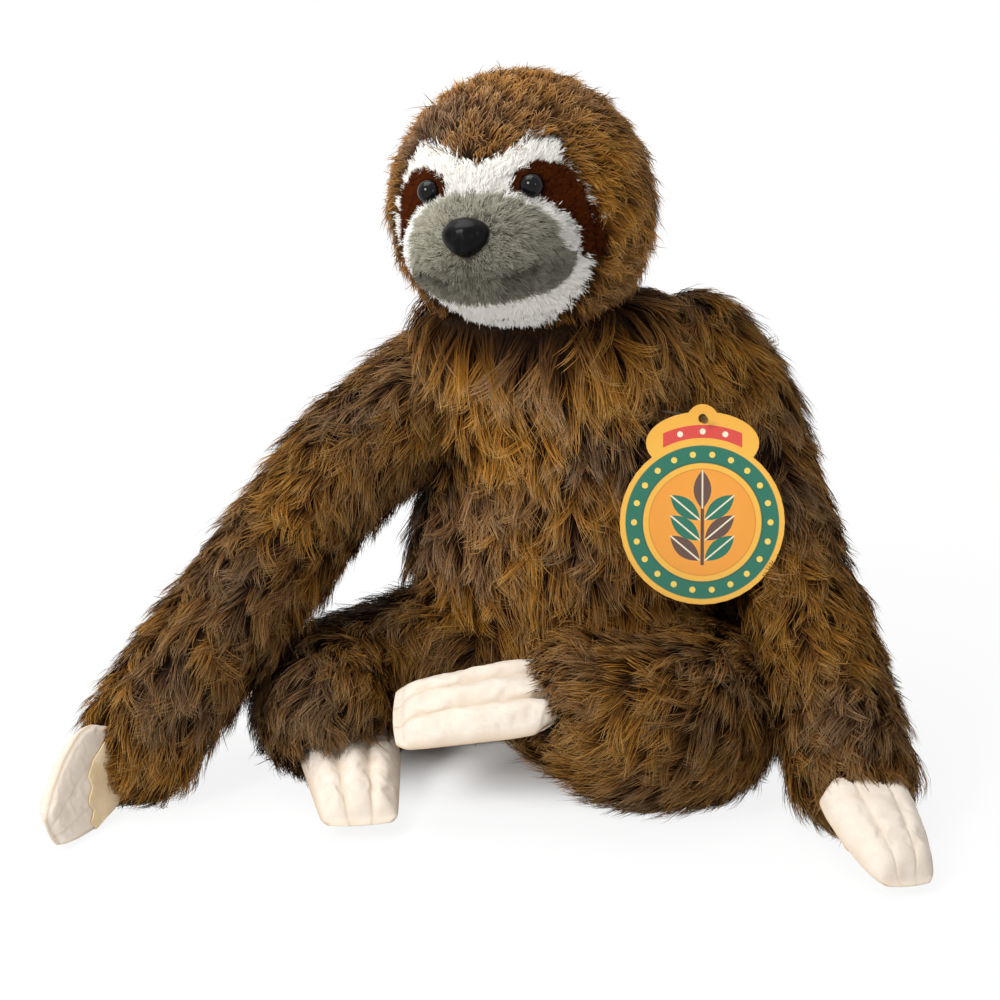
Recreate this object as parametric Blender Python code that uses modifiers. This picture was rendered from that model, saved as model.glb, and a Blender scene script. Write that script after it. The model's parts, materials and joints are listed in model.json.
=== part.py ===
# Seated plush sloth with long arms, sewn claws and a plain hang tag.
# Metres, Z up. The toy sits on the floor plane Z = 0 and looks towards -Y. Its own left side is +X.
# Origin: the middle of the flat seat. Every soft limb is a fur cover with its own filling inside.

import math

import bmesh
import bpy
from mathutils import Matrix, Vector

# Driving dimensions of the body
torso_height = 0.214
belly_half_width = 0.081
belly_half_depth = 0.060
neck_lean = 0.027
neck_forward = 0.020
head_radius = 0.055
head_rise = 0.038
head_side = 0.032
head_ahead = 0.030
head_turn = math.radians(19)
head_roll = math.radians(7)

# Fabric and fit
cover_thickness = 0.003
seam_gap = 0.0003
filling_gap = 0.0006
floor_cut = 0.0005
overrun = 0.004

# Shoulders and arms
shoulder_drop = 0.050
shoulder_spread = 0.055
shoulder_tilt = 0.008
shoulder_radius = 0.031
arm_reach = 0.145
wrist_radius = 0.023

# Hips and legs
left_hip_side = 0.046
left_hip_forward = 0.043
right_hip_side = 0.064
right_hip_forward = 0.022
hip_radius = 0.0345
leg_reach = 0.110

# Claw packs: three sewn channels, flat on the palm side
hand_claw_length = 0.062
hand_claw_width = 0.042
hand_claw_height = 0.014
foot_claw_length = 0.071
foot_claw_width = 0.045
foot_claw_height = 0.014
claw_limit = math.radians(18)
pad_thickness = 0.0012

# Face
eye_radius = 0.0053
eye_height = 0.0055
eye_lift = 0.00492
nose_half_width = 0.0102
nose_half_height = 0.0085
nose_depth = 0.0080
shank_radius = 0.0019
shank_length = 0.011
washer_radius = 0.0075
washer_thickness = 0.0015
washer_slack = 0.0005
muzzle_half_width = 0.0370
muzzle_half_height = 0.0250
muzzle_depth = 0.0330
muzzle_sink = 0.0140
muzzle_drop = 0.0090
thread_radius = 0.0005

# Seat weight
pellet_bag_height = 0.034

# Hang tag
card_radius = 0.0365
card_thickness = 0.0010
card_drop = 0.0460
card_tab_radius = 0.0070
header_half_width = 0.0250
header_half_height = 0.0140
header_drop = 0.0110
behind_card = 0.0050
card_hole_radius = 0.0020
card_lean = math.radians(15)
filament_radius = 0.0005
paddle_radius = 0.0017
paddle_stand_off = 0.0048
barb_half_length = 0.0045
tag_side = 0.0485
tag_out = 0.0590
card_leg_gap = 0.01431
tag_anchor_side = 0.0300

# Places that follow the torso's top and the head's surface. The card hangs clear of the crossed leg.
head_height = torso_height + head_rise
shoulder_height = torso_height - shoulder_drop
muzzle_forward = head_radius - muzzle_sink
tag_height = 2 * hip_radius - floor_cut + card_leg_gap + (card_drop + card_radius) * math.cos(card_lean)

# Facets
round_segments = 20
ball_rings = 12
small_segments = 12
small_rings = 8
nose_segments = 16
nose_rings = 10
card_segments = 40
limb_bevel_resolution = 5
sphere_facet_share = 0.978

# Colours, linear RGB
FUR = (0.105, 0.054, 0.022, 1)
FILL = (0.80, 0.80, 0.78, 1)
WHITE_PLUSH = (0.78, 0.76, 0.72, 1)
GREY_PLUSH = (0.20, 0.20, 0.18, 1)
VELOUR = (0.060, 0.012, 0.006, 1)
BLACK = (0.006, 0.006, 0.007, 1)
SUEDE = (0.80, 0.70, 0.58, 1)
PALM = (0.46, 0.34, 0.20, 1)
CARD = (0.02, 0.20, 0.11, 1)
NYLON = (0.72, 0.72, 0.70, 1)
PELLETS = (0.62, 0.62, 0.58, 1)
THREAD = (0.04, 0.04, 0.035, 1)


# Scene and materials

for old in list(bpy.data.objects):
    bpy.data.objects.remove(old, do_unlink=True)

parts = bpy.data.collections.new("plush_sloth")
cutters = bpy.data.collections.new("cutters")
bpy.context.scene.collection.children.link(parts)
bpy.context.scene.collection.children.link(cutters)


def material(name, colour, roughness, metallic=0.0):
    made = bpy.data.materials.new(name)
    made.use_nodes = True
    shader = made.node_tree.nodes["Principled BSDF"]
    shader.inputs["Base Color"].default_value = colour
    shader.inputs["Roughness"].default_value = roughness
    shader.inputs["Metallic"].default_value = metallic
    return made


long_fur = material("long_pile_fur", FUR, 0.9)
fibre = material("polyester_fibre", FILL, 1.0)
white_plush = material("white_short_plush", WHITE_PLUSH, 0.95)
grey_plush = material("grey_short_plush", GREY_PLUSH, 0.95)
brown_velour = material("brown_velour", VELOUR, 0.8)
black_plastic = material("black_gloss_plastic", BLACK, 0.12)
clear_plastic = material("white_polypropylene", NYLON, 0.4)
cream_suede = material("cream_suede", SUEDE, 0.9)
tan_suede = material("tan_suede", PALM, 0.9)
printed_card = material("printed_card", CARD, 0.35)
pellet_cloth = material("pellet_bag_cloth", PELLETS, 0.8)
dark_thread = material("dark_thread", THREAD, 0.7)


# Mesh helpers

def place_object(name, mesh, collection=parts, finish=None):
    made = bpy.data.objects.new(name, mesh)
    collection.objects.link(made)
    if collection is cutters:
        made.hide_render = True
        made.display_type = "WIRE"
    if finish:
        mesh.materials.clear()
        mesh.materials.append(finish)
    return made


def from_bmesh(name, shape, collection=cutters, finish=None):
    mesh = bpy.data.meshes.new(name)
    shape.to_mesh(mesh)
    shape.free()
    return place_object(name, mesh, collection, finish)


def apply_modifiers(thing):
    bpy.context.view_layer.update()
    graph = bpy.context.evaluated_depsgraph_get()
    mesh = bpy.data.meshes.new_from_object(thing.evaluated_get(graph), depsgraph=graph)
    if thing.type == "CURVE":
        name, matrix = thing.name, thing.matrix_world.copy()
        collection = thing.users_collection[0]
        bpy.data.objects.remove(thing)
        shape = bmesh.new()
        shape.from_mesh(mesh)
        bmesh.ops.remove_doubles(shape, verts=shape.verts, dist=seam_gap / 10)
        shape.to_mesh(mesh)
        shape.free()
        made = place_object(name, mesh, collection)
        made.matrix_world = matrix
        return made
    thing.modifiers.clear()
    thing.data = mesh
    return thing


def boolean(target, cutter, operation="DIFFERENCE"):
    step = target.modifiers.new(operation.lower(), "BOOLEAN")
    step.operation = operation
    step.solver = "EXACT"
    step.object = cutter
    return apply_modifiers(target)


def copy_of(source, name, collection=parts, finish=None):
    made = place_object(name, source.data.copy(), collection, finish)
    made.matrix_world = source.matrix_world.copy()
    return made


def grown(source, name, amount, collection=cutters, finish=None):
    """A copy whose surface is moved along its normals: outwards for a positive amount."""
    made = copy_of(source, name, collection, finish)
    normals = [vertex.normal.copy() for vertex in made.data.vertices]
    for vertex, normal in zip(made.data.vertices, normals):
        vertex.co += normal * amount
    return made


def cover_of(skin, name, finish):
    """A fabric wall: the open or closed skin thickened inwards."""
    made = copy_of(skin, name, parts, finish)
    wall = made.modifiers.new("wall", "SOLIDIFY")
    wall.thickness = cover_thickness
    wall.offset = -1
    wall.use_even_offset = False
    return apply_modifiers(made)


def ball(name, centre, radius, collection=cutters, segments=round_segments, rings=ball_rings):
    shape = bmesh.new()
    bmesh.ops.create_uvsphere(shape, u_segments=segments, v_segments=rings, radius=radius)
    bmesh.ops.translate(shape, verts=shape.verts, vec=centre)
    return from_bmesh(name, shape, collection)


def cylinder(name, radius, start, end, collection=cutters, finish=None, segments=small_segments, wide=1):
    """A rod between two points, or a plate that is wider than it is tall."""
    start = Vector(start)
    run = Vector(end) - start
    shape = bmesh.new()
    bmesh.ops.create_cone(
        shape, cap_ends=True, segments=segments, radius1=radius, radius2=radius, depth=run.length
    )
    bmesh.ops.scale(shape, vec=(wide, 1, 1), verts=shape.verts)
    turn = run.to_track_quat("Z", "Y").to_matrix().to_4x4()
    bmesh.ops.transform(shape, matrix=Matrix.Translation(start + run / 2) @ turn, verts=shape.verts)
    return from_bmesh(name, shape, collection, finish)


def smooth(thing):
    thing.data.shade_smooth()
    thing.data.set_sharp_from_angle(angle=math.radians(40))


# Torso: a coarse cage of rings, smoothed, and cut flat at the seat

ring_height_shares = (0.00, 0.10, 0.26, 0.44, 0.62, 0.76, 0.88, 1.00)
ring_width_shares = (0.80, 0.99, 1.00, 0.96, 0.86, 0.77, 0.70, 0.60)
ring_depth_shares = (0.80, 0.97, 1.00, 0.98, 0.90, 0.82, 0.76, 0.70)
ring_lean_shares = (0.00, 0.00, 0.02, 0.07, 0.18, 0.36, 0.68, 1.00)
cage_segments = 12
cage_swell = 8 / (6 + 2 * math.cos(2 * math.pi / cage_segments))


def ring_below(height):
    """The ring below a height, and how far the height is on the way to the next ring."""
    share = height / torso_height
    low = max(at for at, ring in enumerate(ring_height_shares[:-1]) if ring <= share)
    step = ring_height_shares[low + 1] - ring_height_shares[low]
    return low, (share - ring_height_shares[low]) / step


def between_rings(shares, low, part):
    return shares[low] + part * (shares[low + 1] - shares[low])


def spine_at(height):
    """Centre of the torso at a height, between its rings."""
    lean = between_rings(ring_lean_shares, *ring_below(height))
    return Vector((-neck_lean * lean, -neck_forward * lean, height))


def torso_skin():
    shape = bmesh.new()
    rings = len(ring_height_shares)
    bmesh.ops.create_uvsphere(shape, u_segments=cage_segments, v_segments=rings + 1, radius=1)
    levels = sorted({round(vertex.co.z, 4) for vertex in shape.verts})
    for vertex in shape.verts:
        level = levels.index(round(vertex.co.z, 4)) - 1
        place = min(max(level, 0), rings - 1)
        height = ring_height_shares[place] * torso_height - floor_cut
        centre = Vector((-neck_lean, -neck_forward, 0)) * ring_lean_shares[place]
        flat = Vector((vertex.co.x, vertex.co.y, 0))
        if 0 <= level < rings:
            flat.normalize()
        flat.x *= belly_half_width * ring_width_shares[place] * cage_swell
        flat.y *= belly_half_depth * ring_depth_shares[place] * cage_swell
        vertex.co = centre + flat + Vector((0, 0, height))
    made = from_bmesh("torso_skin", shape, cutters)
    step = made.modifiers.new("smooth", "SUBSURF")
    step.levels = 1
    step.render_levels = 1
    return apply_modifiers(made)


def floor_block():
    shape = bmesh.new()
    bmesh.ops.create_cube(shape, size=1)
    side = torso_height * 4
    bmesh.ops.scale(shape, vec=(side, side, torso_height), verts=shape.verts)
    bmesh.ops.translate(shape, vec=(0, 0, -torso_height / 2), verts=shape.verts)
    return from_bmesh("floor_block", shape, cutters)


floor = floor_block()
body_skin = torso_skin()
body_skin_grown = grown(body_skin, "torso_skin_grown", seam_gap)

torso_cover = cover_of(body_skin, "torso_cover", long_fur)
torso_cover = boolean(torso_cover, floor)
torso_core = grown(body_skin, "torso_core", -cover_thickness - filling_gap)
torso_filling = copy_of(torso_core, "torso_filling", parts, fibre)
bag_block = copy_of(floor, "bag_block", cutters)
bag_block.location.z = pellet_bag_height
pellet_bag = copy_of(torso_core, "pellet_bag", parts, pellet_cloth)
pellet_bag = boolean(pellet_bag, bag_block, "INTERSECT")
filling_block = copy_of(floor, "filling_block", cutters)
filling_block.location.z = pellet_bag_height + seam_gap
torso_filling = boolean(torso_filling, filling_block)


# Limbs: a tube that starts as a ball in its socket and swells and tapers along a bent path

def bent_path(points, steps):
    """Catmull-Rom curve through points of four numbers: place and radius."""
    first = [2 * a - b for a, b in zip(points[0], points[1])]
    last = [2 * a - b for a, b in zip(points[-1], points[-2])]
    knots = [first, *points, last]
    path = []
    for at in range(1, len(knots) - 2):
        for step in range(steps):
            t = step / steps
            before, here, after, beyond = knots[at - 1:at + 3]
            path.append([
                (2 * b + (c - a) * t + (2 * a - 5 * b + 4 * c - d) * t ** 2
                 + (3 * b - a - 3 * c + d) * t ** 3) / 2
                for a, b, c, d in zip(before, here, after, beyond)
            ])
    path.append(list(points[-1]))
    return path


root_angles = tuple(math.radians(angle) for angle in (27, 48, 69))
end_angles = tuple(math.radians(angle) for angle in (28, 54, 76))


def limb_skin(name, points, steps):
    """An open sleeve: round root, bent tube and domed end. The root's small end stays open."""
    path = bent_path(points, steps)
    centre = Vector(path[0][:3])
    radius = path[0][3]
    out = (Vector(path[1][:3]) - centre).normalized()
    root = [[*(centre - out * radius * math.cos(a)), radius * math.sin(a)] for a in root_angles]
    tip = Vector(path[-1][:3])
    end_radius = path[-1][3]
    along = (tip - Vector(path[-2][:3])).normalized()
    end = [[*(tip + along * end_radius * math.sin(a)), end_radius * math.cos(a)] for a in end_angles]
    stations = root + path + end
    curve = bpy.data.curves.new(name, "CURVE")
    curve.dimensions = "3D"
    curve.bevel_depth = radius
    curve.bevel_resolution = limb_bevel_resolution
    curve.use_fill_caps = True
    spline = curve.splines.new("POLY")
    spline.points.add(len(stations) - 1)
    for point, station in zip(spline.points, stations):
        point.co = (*station[:3], 1)
        point.radius = station[3] / radius
    tube = bpy.data.objects.new(name, curve)
    cutters.objects.link(tube)
    made = apply_modifiers(tube)
    made.hide_render = True
    made.display_type = "WIRE"
    return made


def open_sleeve(skin, name, at):
    """A copy without the flat cap at its root."""
    made = copy_of(skin, name, cutters)
    shape = bmesh.new()
    shape.from_mesh(made.data)
    shape.faces.ensure_lookup_table()
    root = min(shape.faces, key=lambda face: (face.calc_center_median() - at).length)
    bmesh.ops.delete(shape, geom=[root], context="FACES_ONLY")
    shape.to_mesh(made.data)
    shape.free()
    return made


def socket_radius(radius):
    """Clear of a ball of this radius at any turn, with flat facets on both."""
    return (radius + seam_gap) / sphere_facet_share


def build_limb(name, points, steps, socket_size):
    """Cover and filling of a limb, and its round socket in the torso's pieces."""
    global torso_cover, torso_filling, pellet_bag
    skin = limb_skin(f"{name}_skin", points, steps)
    pivot = Vector(points[0][:3])
    radius = points[0][3]
    out = (Vector(points[1][:3]) - pivot).normalized()
    sleeve = open_sleeve(skin, f"{name}_sleeve", pivot - out * radius)
    cover = cover_of(sleeve, f"{name}_cover", long_fur)
    filling = grown(skin, f"{name}_filling", -cover_thickness - filling_gap, parts, fibre)
    block = copy_of(body_skin_grown, f"{name}_body_block", cutters)
    block = boolean(block, ball(f"{name}_ball", pivot, socket_radius(radius)))
    cover = boolean(cover, block)
    filling = boolean(filling, block)
    if min(point[2] - point[3] for point in points) < 0:
        cover = boolean(cover, floor)
    socket = ball(f"{name}_socket", pivot, socket_size)
    torso_cover = boolean(torso_cover, socket)
    torso_filling = boolean(torso_filling, socket)
    if pivot.z - radius < pellet_bag_height:
        pellet_bag = boolean(pellet_bag, socket)
    return cover, filling


arm_steps = 2
leg_steps = 2

# Places along each arm as shares: sideways, forwards, drop from shoulder to wrist, and girth
left_arm_shares = (
    (0.00, 0.00, 0.00, 1.00),
    (0.15, 0.08, 0.15, 0.89),
    (0.24, 0.24, 0.40, 0.78),
    (0.36, 0.46, 0.69, 0.75),
    (0.46, 0.90, 1.00, 0.75),
)
right_arm_shares = (
    (0.00, 0.00, 0.00, 1.00),
    (0.26, 0.10, 0.17, 0.86),
    (0.46, 0.25, 0.37, 0.77),
    (0.62, 0.44, 0.57, 0.75),
    (0.83, 0.61, 0.83, 0.75),
    (0.94, 0.69, 1.00, 0.75),
)


def arm_points(side, shares):
    root = spine_at(shoulder_height)
    root += Vector((side * shoulder_spread, 0, side * shoulder_tilt))
    root.y = 0
    rest = wrist_radius
    points = []
    for sideways, forwards, drop, girth in shares:
        place = root + Vector((side * sideways * arm_reach, -forwards * arm_reach, 0))
        place.z = root.z + (rest - root.z) * drop
        points.append((*place, shoulder_radius * girth))
    return points


# Places along each leg as shares: sideways, forwards, rise of the underside, and girth
left_leg_shares = (
    (0.00, 0.00, 0.00, 1.00),
    (0.01, 0.16, 0.00, 0.85),
    (0.02, 0.33, 0.00, 0.98),
    (-0.04, 0.49, 0.00, 1.00),
    (-0.17, 0.60, 0.04, 0.97),
    (-0.34, 0.64, 0.11, 0.89),
    (-0.50, 0.63, 0.21, 0.78),
)
right_leg_shares = (
    (0.00, 0.00, 0.00, 1.00),
    (0.16, 0.03, 0.00, 0.84),
    (0.33, 0.12, 0.00, 0.85),
    (0.46, 0.26, 0.00, 0.86),
    (0.51, 0.42, 0.00, 0.83),
    (0.47, 0.56, 0.01, 0.78),
)


def leg_points(side, across, ahead, shares):
    root = Vector((side * across, -ahead, 0))
    points = []
    for sideways, forwards, rise, girth in shares:
        radius = hip_radius * girth
        place = root + Vector((side * sideways, -forwards, rise)) * leg_reach
        place.z += radius - floor_cut
        points.append((*place, radius))
    points[0] = (*points[0][:2], hip_radius + seam_gap, hip_radius)
    points[1] = (*points[1][:2], hip_radius, points[1][3])
    return points


left_shoulder = arm_points(1, left_arm_shares)
right_shoulder = arm_points(-1, right_arm_shares)
left_hip = leg_points(1, left_hip_side, left_hip_forward, left_leg_shares)
right_hip = leg_points(-1, right_hip_side, right_hip_forward, right_leg_shares)

# An arm's cut edge turns in its socket too. A leg leaves the torso inside its own ball.
arm_socket = socket_radius(socket_radius(shoulder_radius))
leg_socket = socket_radius(hip_radius)
left_arm_cover, left_arm_filling = build_limb("left_arm", left_shoulder, arm_steps, arm_socket)
right_arm_cover, right_arm_filling = build_limb("right_arm", right_shoulder, arm_steps, arm_socket)
left_leg_cover, left_leg_filling = build_limb("left_leg", left_hip, leg_steps, leg_socket)
right_leg_cover, right_leg_filling = build_limb("right_leg", right_hip, leg_steps, leg_socket)


# Claw packs: a flat palm side, three ridges on the back, a round root that hinges in the paw

# Share along the length, then share of the width
hand_plan_shares = (
    (0.00, 0.72), (0.10, 0.98), (0.30, 1.00), (0.55, 0.88), (0.78, 0.68), (0.93, 0.48), (1.00, 0.32),
)
foot_plan_shares = (
    (0.00, 0.76), (0.10, 0.98), (0.30, 1.00), (0.55, 0.96), (0.80, 0.92), (0.94, 0.88), (1.00, 0.78),
)
root_height_share = 0.60
tip_height_share = 0.42
edge_height_share = 0.30
swell_start_share = 0.25
swell_round_share = 0.5
ridge_round_share = 0.6
crown_drop_share = 0.35
palm_inset_share = 0.97
palm_across_shares = (-1, -0.34, 0.34, 1)
ridge_points = 5
ridges = 3


def pack_mesh(name, length, width, height, plan_shares):
    """Local X across, Y from root to tip, Z out of the back. The palm side is the plane Z = 0."""
    shape = bmesh.new()
    sections = []
    count = ridges * (ridge_points - 1)
    for along, breadth in plan_shares:
        half = width / 2 * breadth
        swell = swell_start_share + along * (1 - swell_start_share)
        body = math.sin(math.pi * swell) ** swell_round_share if along < 1 else 0
        tall = height * (tip_height_share + (1 - tip_height_share) * body)
        if along == 0:
            tall = height * root_height_share
        ring = []
        for number in range(count + 1):
            across = 1 - 2 * number / count
            wave = abs(math.sin(ridges * math.pi * (across + 1) / 2)) ** ridge_round_share
            crown = 1 - crown_drop_share * across * across
            rise = edge_height_share + (1 - edge_height_share) * wave
            if number in (0, count):
                rise = edge_height_share
            ring.append(shape.verts.new((half * across, along * length, tall * rise * crown)))
        for across in palm_across_shares:
            ring.append(shape.verts.new((half * across * palm_inset_share, along * length, 0)))
        sections.append(ring)
    for near, far in zip(sections, sections[1:]):
        for at in range(len(near)):
            after = (at + 1) % len(near)
            shape.faces.new((near[at], near[after], far[after], far[at]))
    shape.faces.new(sections[0])
    shape.faces.new(sections[-1])
    bmesh.ops.triangulate(shape, faces=[face for face in shape.faces if len(face.verts) > 4])
    bmesh.ops.recalc_face_normals(shape, faces=shape.faces)
    mesh = bpy.data.meshes.new(name)
    shape.to_mesh(mesh)
    shape.free()
    return mesh


def pack_frame(root, along, back):
    """World matrix of a pack: Y from root to tip, Z as near to the back direction as it can be."""
    along = along.normalized()
    across = along.cross(back).normalized()
    out = across.cross(along).normalized()
    turn = Matrix((across, along, out)).transposed().to_4x4()
    return Matrix.Translation(root) @ turn


swing_shares = (0, 0.5, 1)


def mouth_block(name, mesh, pivot, axis):
    """The hull of a pack over its whole swing, with a gap all round it."""
    shape = bmesh.new()
    for share in swing_shares:
        spin = Matrix.Rotation(claw_limit * share, 3, axis)
        for vertex in mesh.vertices:
            arm = vertex.co - pivot + vertex.normal * seam_gap * 2
            shape.verts.new(pivot + spin @ arm)
    hull = bmesh.ops.convex_hull(shape, input=shape.verts)
    spare = {item for item in hull["geom_interior"] + hull["geom_unused"]}
    bmesh.ops.delete(shape, geom=[v for v in spare if isinstance(v, bmesh.types.BMVert)], context="VERTS")
    bmesh.ops.recalc_face_normals(shape, faces=shape.faces)
    return from_bmesh(name, shape, cutters)


hinges = {}


def build_pack(name, root, along, back, sizes, plan_shares, cover, filling):
    length, width, height = sizes
    frame = pack_frame(root, along, back)
    mesh = pack_mesh(name, length, width, height, plan_shares)
    mesh.transform(frame)
    pack = place_object(name, mesh, parts, cream_suede)
    across = (frame.to_3x3() @ Vector((1, 0, 0))).normalized()
    pivot = frame @ Vector((0, 0, height * root_height_share / 2))
    mouth = mouth_block(f"{name}_mouth", mesh, pivot, across)
    cover = boolean(cover, mouth)
    filling = boolean(filling, mouth)
    hinges[name] = (pivot, across)
    return pack, cover, filling, frame


def palm_pad(name, frame, sizes, outline_shares):
    """A thin suede patch with a jagged front edge on the palm side of a pack."""
    length, width = sizes[:2]
    shape = bmesh.new()
    corners = [
        shape.verts.new((across * width / 2, along * length, -seam_gap - pad_thickness))
        for across, along in outline_shares
    ]
    face = shape.faces.new(corners)
    raised = bmesh.ops.extrude_face_region(shape, geom=[face])
    lifted = [item for item in raised["geom"] if isinstance(item, bmesh.types.BMVert)]
    bmesh.ops.translate(shape, vec=(0, 0, pad_thickness), verts=lifted)
    bmesh.ops.recalc_face_normals(shape, faces=shape.faces)
    bmesh.ops.transform(shape, matrix=frame, verts=shape.verts)
    return from_bmesh(name, shape, parts, tan_suede)


# Share across the half width, then share along the length
pad_outline_shares = (
    (-0.70, 0.24), (0.70, 0.24), (0.72, 0.44), (0.44, 0.58), (0.30, 0.50), (0.10, 0.68),
    (-0.12, 0.54), (-0.34, 0.66), (-0.52, 0.48),
)
hand_sizes = (hand_claw_length, hand_claw_width, hand_claw_height)
foot_sizes = (foot_claw_length, foot_claw_width, foot_claw_height)

# Each pack's root as shares of its limb's reach from the limb's last station, and its two directions
left_hand_root_shares = Vector((-0.005, -0.083, -0.012))
left_hand_along_shares = Vector((0.23, -0.91, -0.30))
left_hand_back_shares = Vector((0.10, -0.20, 1.00))
right_hand_root_shares = Vector((-0.060, -0.075, 0.054))
right_hand_along_shares = Vector((-0.45, -0.83, -0.30))
right_hand_back_shares = Vector((-0.62, 0.55, -0.10))
left_foot_root_shares = Vector((-0.045, -0.05, 0.03))
left_foot_along_shares = Vector((-0.97, 0.03, -0.17))
left_foot_back_shares = Vector((0.00, -0.38, 0.92))
right_foot_root_shares = Vector((0.05, 0.06, -0.11))
right_foot_along_shares = Vector((0.08, -0.98, -0.14))
right_foot_back_shares = Vector((0.00, 0.00, 1.00))

root = Vector(left_shoulder[-1][:3]) + left_hand_root_shares * arm_reach
left_hand_claws, left_arm_cover, left_arm_filling, frame = build_pack(
    "left_hand_claws", root, left_hand_along_shares, left_hand_back_shares,
    hand_sizes, hand_plan_shares, left_arm_cover, left_arm_filling,
)
palm_pad("left_palm_pad", frame, hand_sizes, pad_outline_shares)

root = Vector(right_shoulder[-1][:3]) + right_hand_root_shares * arm_reach
right_hand_claws, right_arm_cover, right_arm_filling, frame = build_pack(
    "right_hand_claws", root, right_hand_along_shares, right_hand_back_shares,
    hand_sizes, hand_plan_shares, right_arm_cover, right_arm_filling,
)
palm_pad("right_palm_pad", frame, hand_sizes, pad_outline_shares)

root = Vector(left_hip[-1][:3]) + left_foot_root_shares * leg_reach
left_foot_claws, left_leg_cover, left_leg_filling, frame = build_pack(
    "left_foot_claws", root, left_foot_along_shares, left_foot_back_shares,
    foot_sizes, foot_plan_shares, left_leg_cover, left_leg_filling,
)

root = Vector(right_hip[-1][:3]) + right_foot_root_shares * leg_reach
right_foot_claws, right_leg_cover, right_leg_filling, frame = build_pack(
    "right_foot_claws", root, right_foot_along_shares, right_foot_back_shares,
    foot_sizes, foot_plan_shares, right_leg_cover, right_leg_filling,
)


# Head: a round stuffed ball that turns in a bowl of the torso

head_centre = Vector((-head_side, -head_ahead, head_height))
head_frame = (
    Matrix.Translation(head_centre)
    @ Matrix.Rotation(-head_turn, 4, "Z")
    @ Matrix.Rotation(-head_roll, 4, "Y")
)
head_segments = 24
head_rings = 16
head_facet_share = 0.987
crown_share = 1.03
neck_width_share = 0.45
neck_low_share = 1.2
neck_top_share = 0.6
bowl_ball = ball("head_bowl", head_centre, (head_radius + seam_gap) / head_facet_share)
torso_cover = boolean(torso_cover, bowl_ball)
torso_filling = boolean(torso_filling, bowl_ball)

shape = bmesh.new()
bmesh.ops.create_uvsphere(shape, u_segments=head_segments, v_segments=head_rings, radius=head_radius)
for vertex in shape.verts:
    if vertex.co.z > 0:
        vertex.co.z *= crown_share
bmesh.ops.translate(shape, verts=shape.verts, vec=head_centre)
head_skin = from_bmesh("head_skin", shape, cutters)
head_whole = cover_of(head_skin, "head_whole", long_fur)
head_filling = grown(head_skin, "head_filling", -cover_thickness - filling_gap, parts, fibre)
neck_hole = cylinder(
    "neck_hole", head_radius * neck_width_share, head_centre - Vector((0, 0, head_radius * neck_low_share)),
    head_centre - Vector((0, 0, head_radius * neck_top_share)), segments=round_segments,
)
head_whole = boolean(head_whole, neck_hole)

# Face outlines as shares of the head's radius: across, then up, going round to the right
face_half_shares = (
    (0.00, 0.48), (0.17, 0.56), (0.42, 0.66), (0.60, 0.60), (0.76, 0.44), (0.85, 0.20),
    (0.86, -0.08), (0.80, -0.34), (0.62, -0.60), (0.38, -0.76), (0.00, -0.81),
)
patch_shares = (
    (0.25, 0.36), (0.42, 0.45), (0.62, 0.40), (0.75, 0.20), (0.79, -0.08),
    (0.76, -0.33), (0.71, -0.34), (0.64, -0.16), (0.56, 0.03), (0.42, 0.13), (0.28, 0.22),
)


def mirrored(shares):
    return tuple((-across, up) for across, up in reversed(shares))


mitre_least = 0.4


def outline_block(name, shares, grow):
    """An outline on the face, pushed from the head's middle out through its front."""
    places = [Vector((across, up)) * head_radius for across, up in shares]
    moved = []
    for at, here in enumerate(places):
        before = (here - places[at - 1]).normalized()
        after = (places[(at + 1) % len(places)] - here).normalized()
        normal = Vector((-before.y, before.x))
        middle = (normal + Vector((-after.y, after.x))).normalized()
        moved.append(here + middle * grow / max(middle.dot(normal), mitre_least))
    shape = bmesh.new()
    corners = [shape.verts.new((place.x, 0, place.y)) for place in moved]
    face = shape.faces.new(corners)
    raised = bmesh.ops.extrude_face_region(shape, geom=[face])
    lifted = [item for item in raised["geom"] if isinstance(item, bmesh.types.BMVert)]
    bmesh.ops.translate(shape, vec=(0, -head_radius - overrun, 0), verts=lifted)
    bmesh.ops.recalc_face_normals(shape, faces=shape.faces)
    bmesh.ops.transform(shape, matrix=head_frame, verts=shape.verts)
    return from_bmesh(name, shape, cutters)


face_shares = face_half_shares + mirrored(face_half_shares)[1:-1]
head_cover = copy_of(head_whole, "head_cover", parts, long_fur)
head_cover = boolean(head_cover, outline_block("face_hole", face_shares, seam_gap / 2))
face_whole = copy_of(head_whole, "face_whole", cutters)
face_whole = boolean(face_whole, outline_block("face_plug", face_shares, -seam_gap / 2), "INTERSECT")
face_panel = copy_of(face_whole, "face_panel", parts, white_plush)
bpy.data.objects.remove(head_whole)

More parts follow.
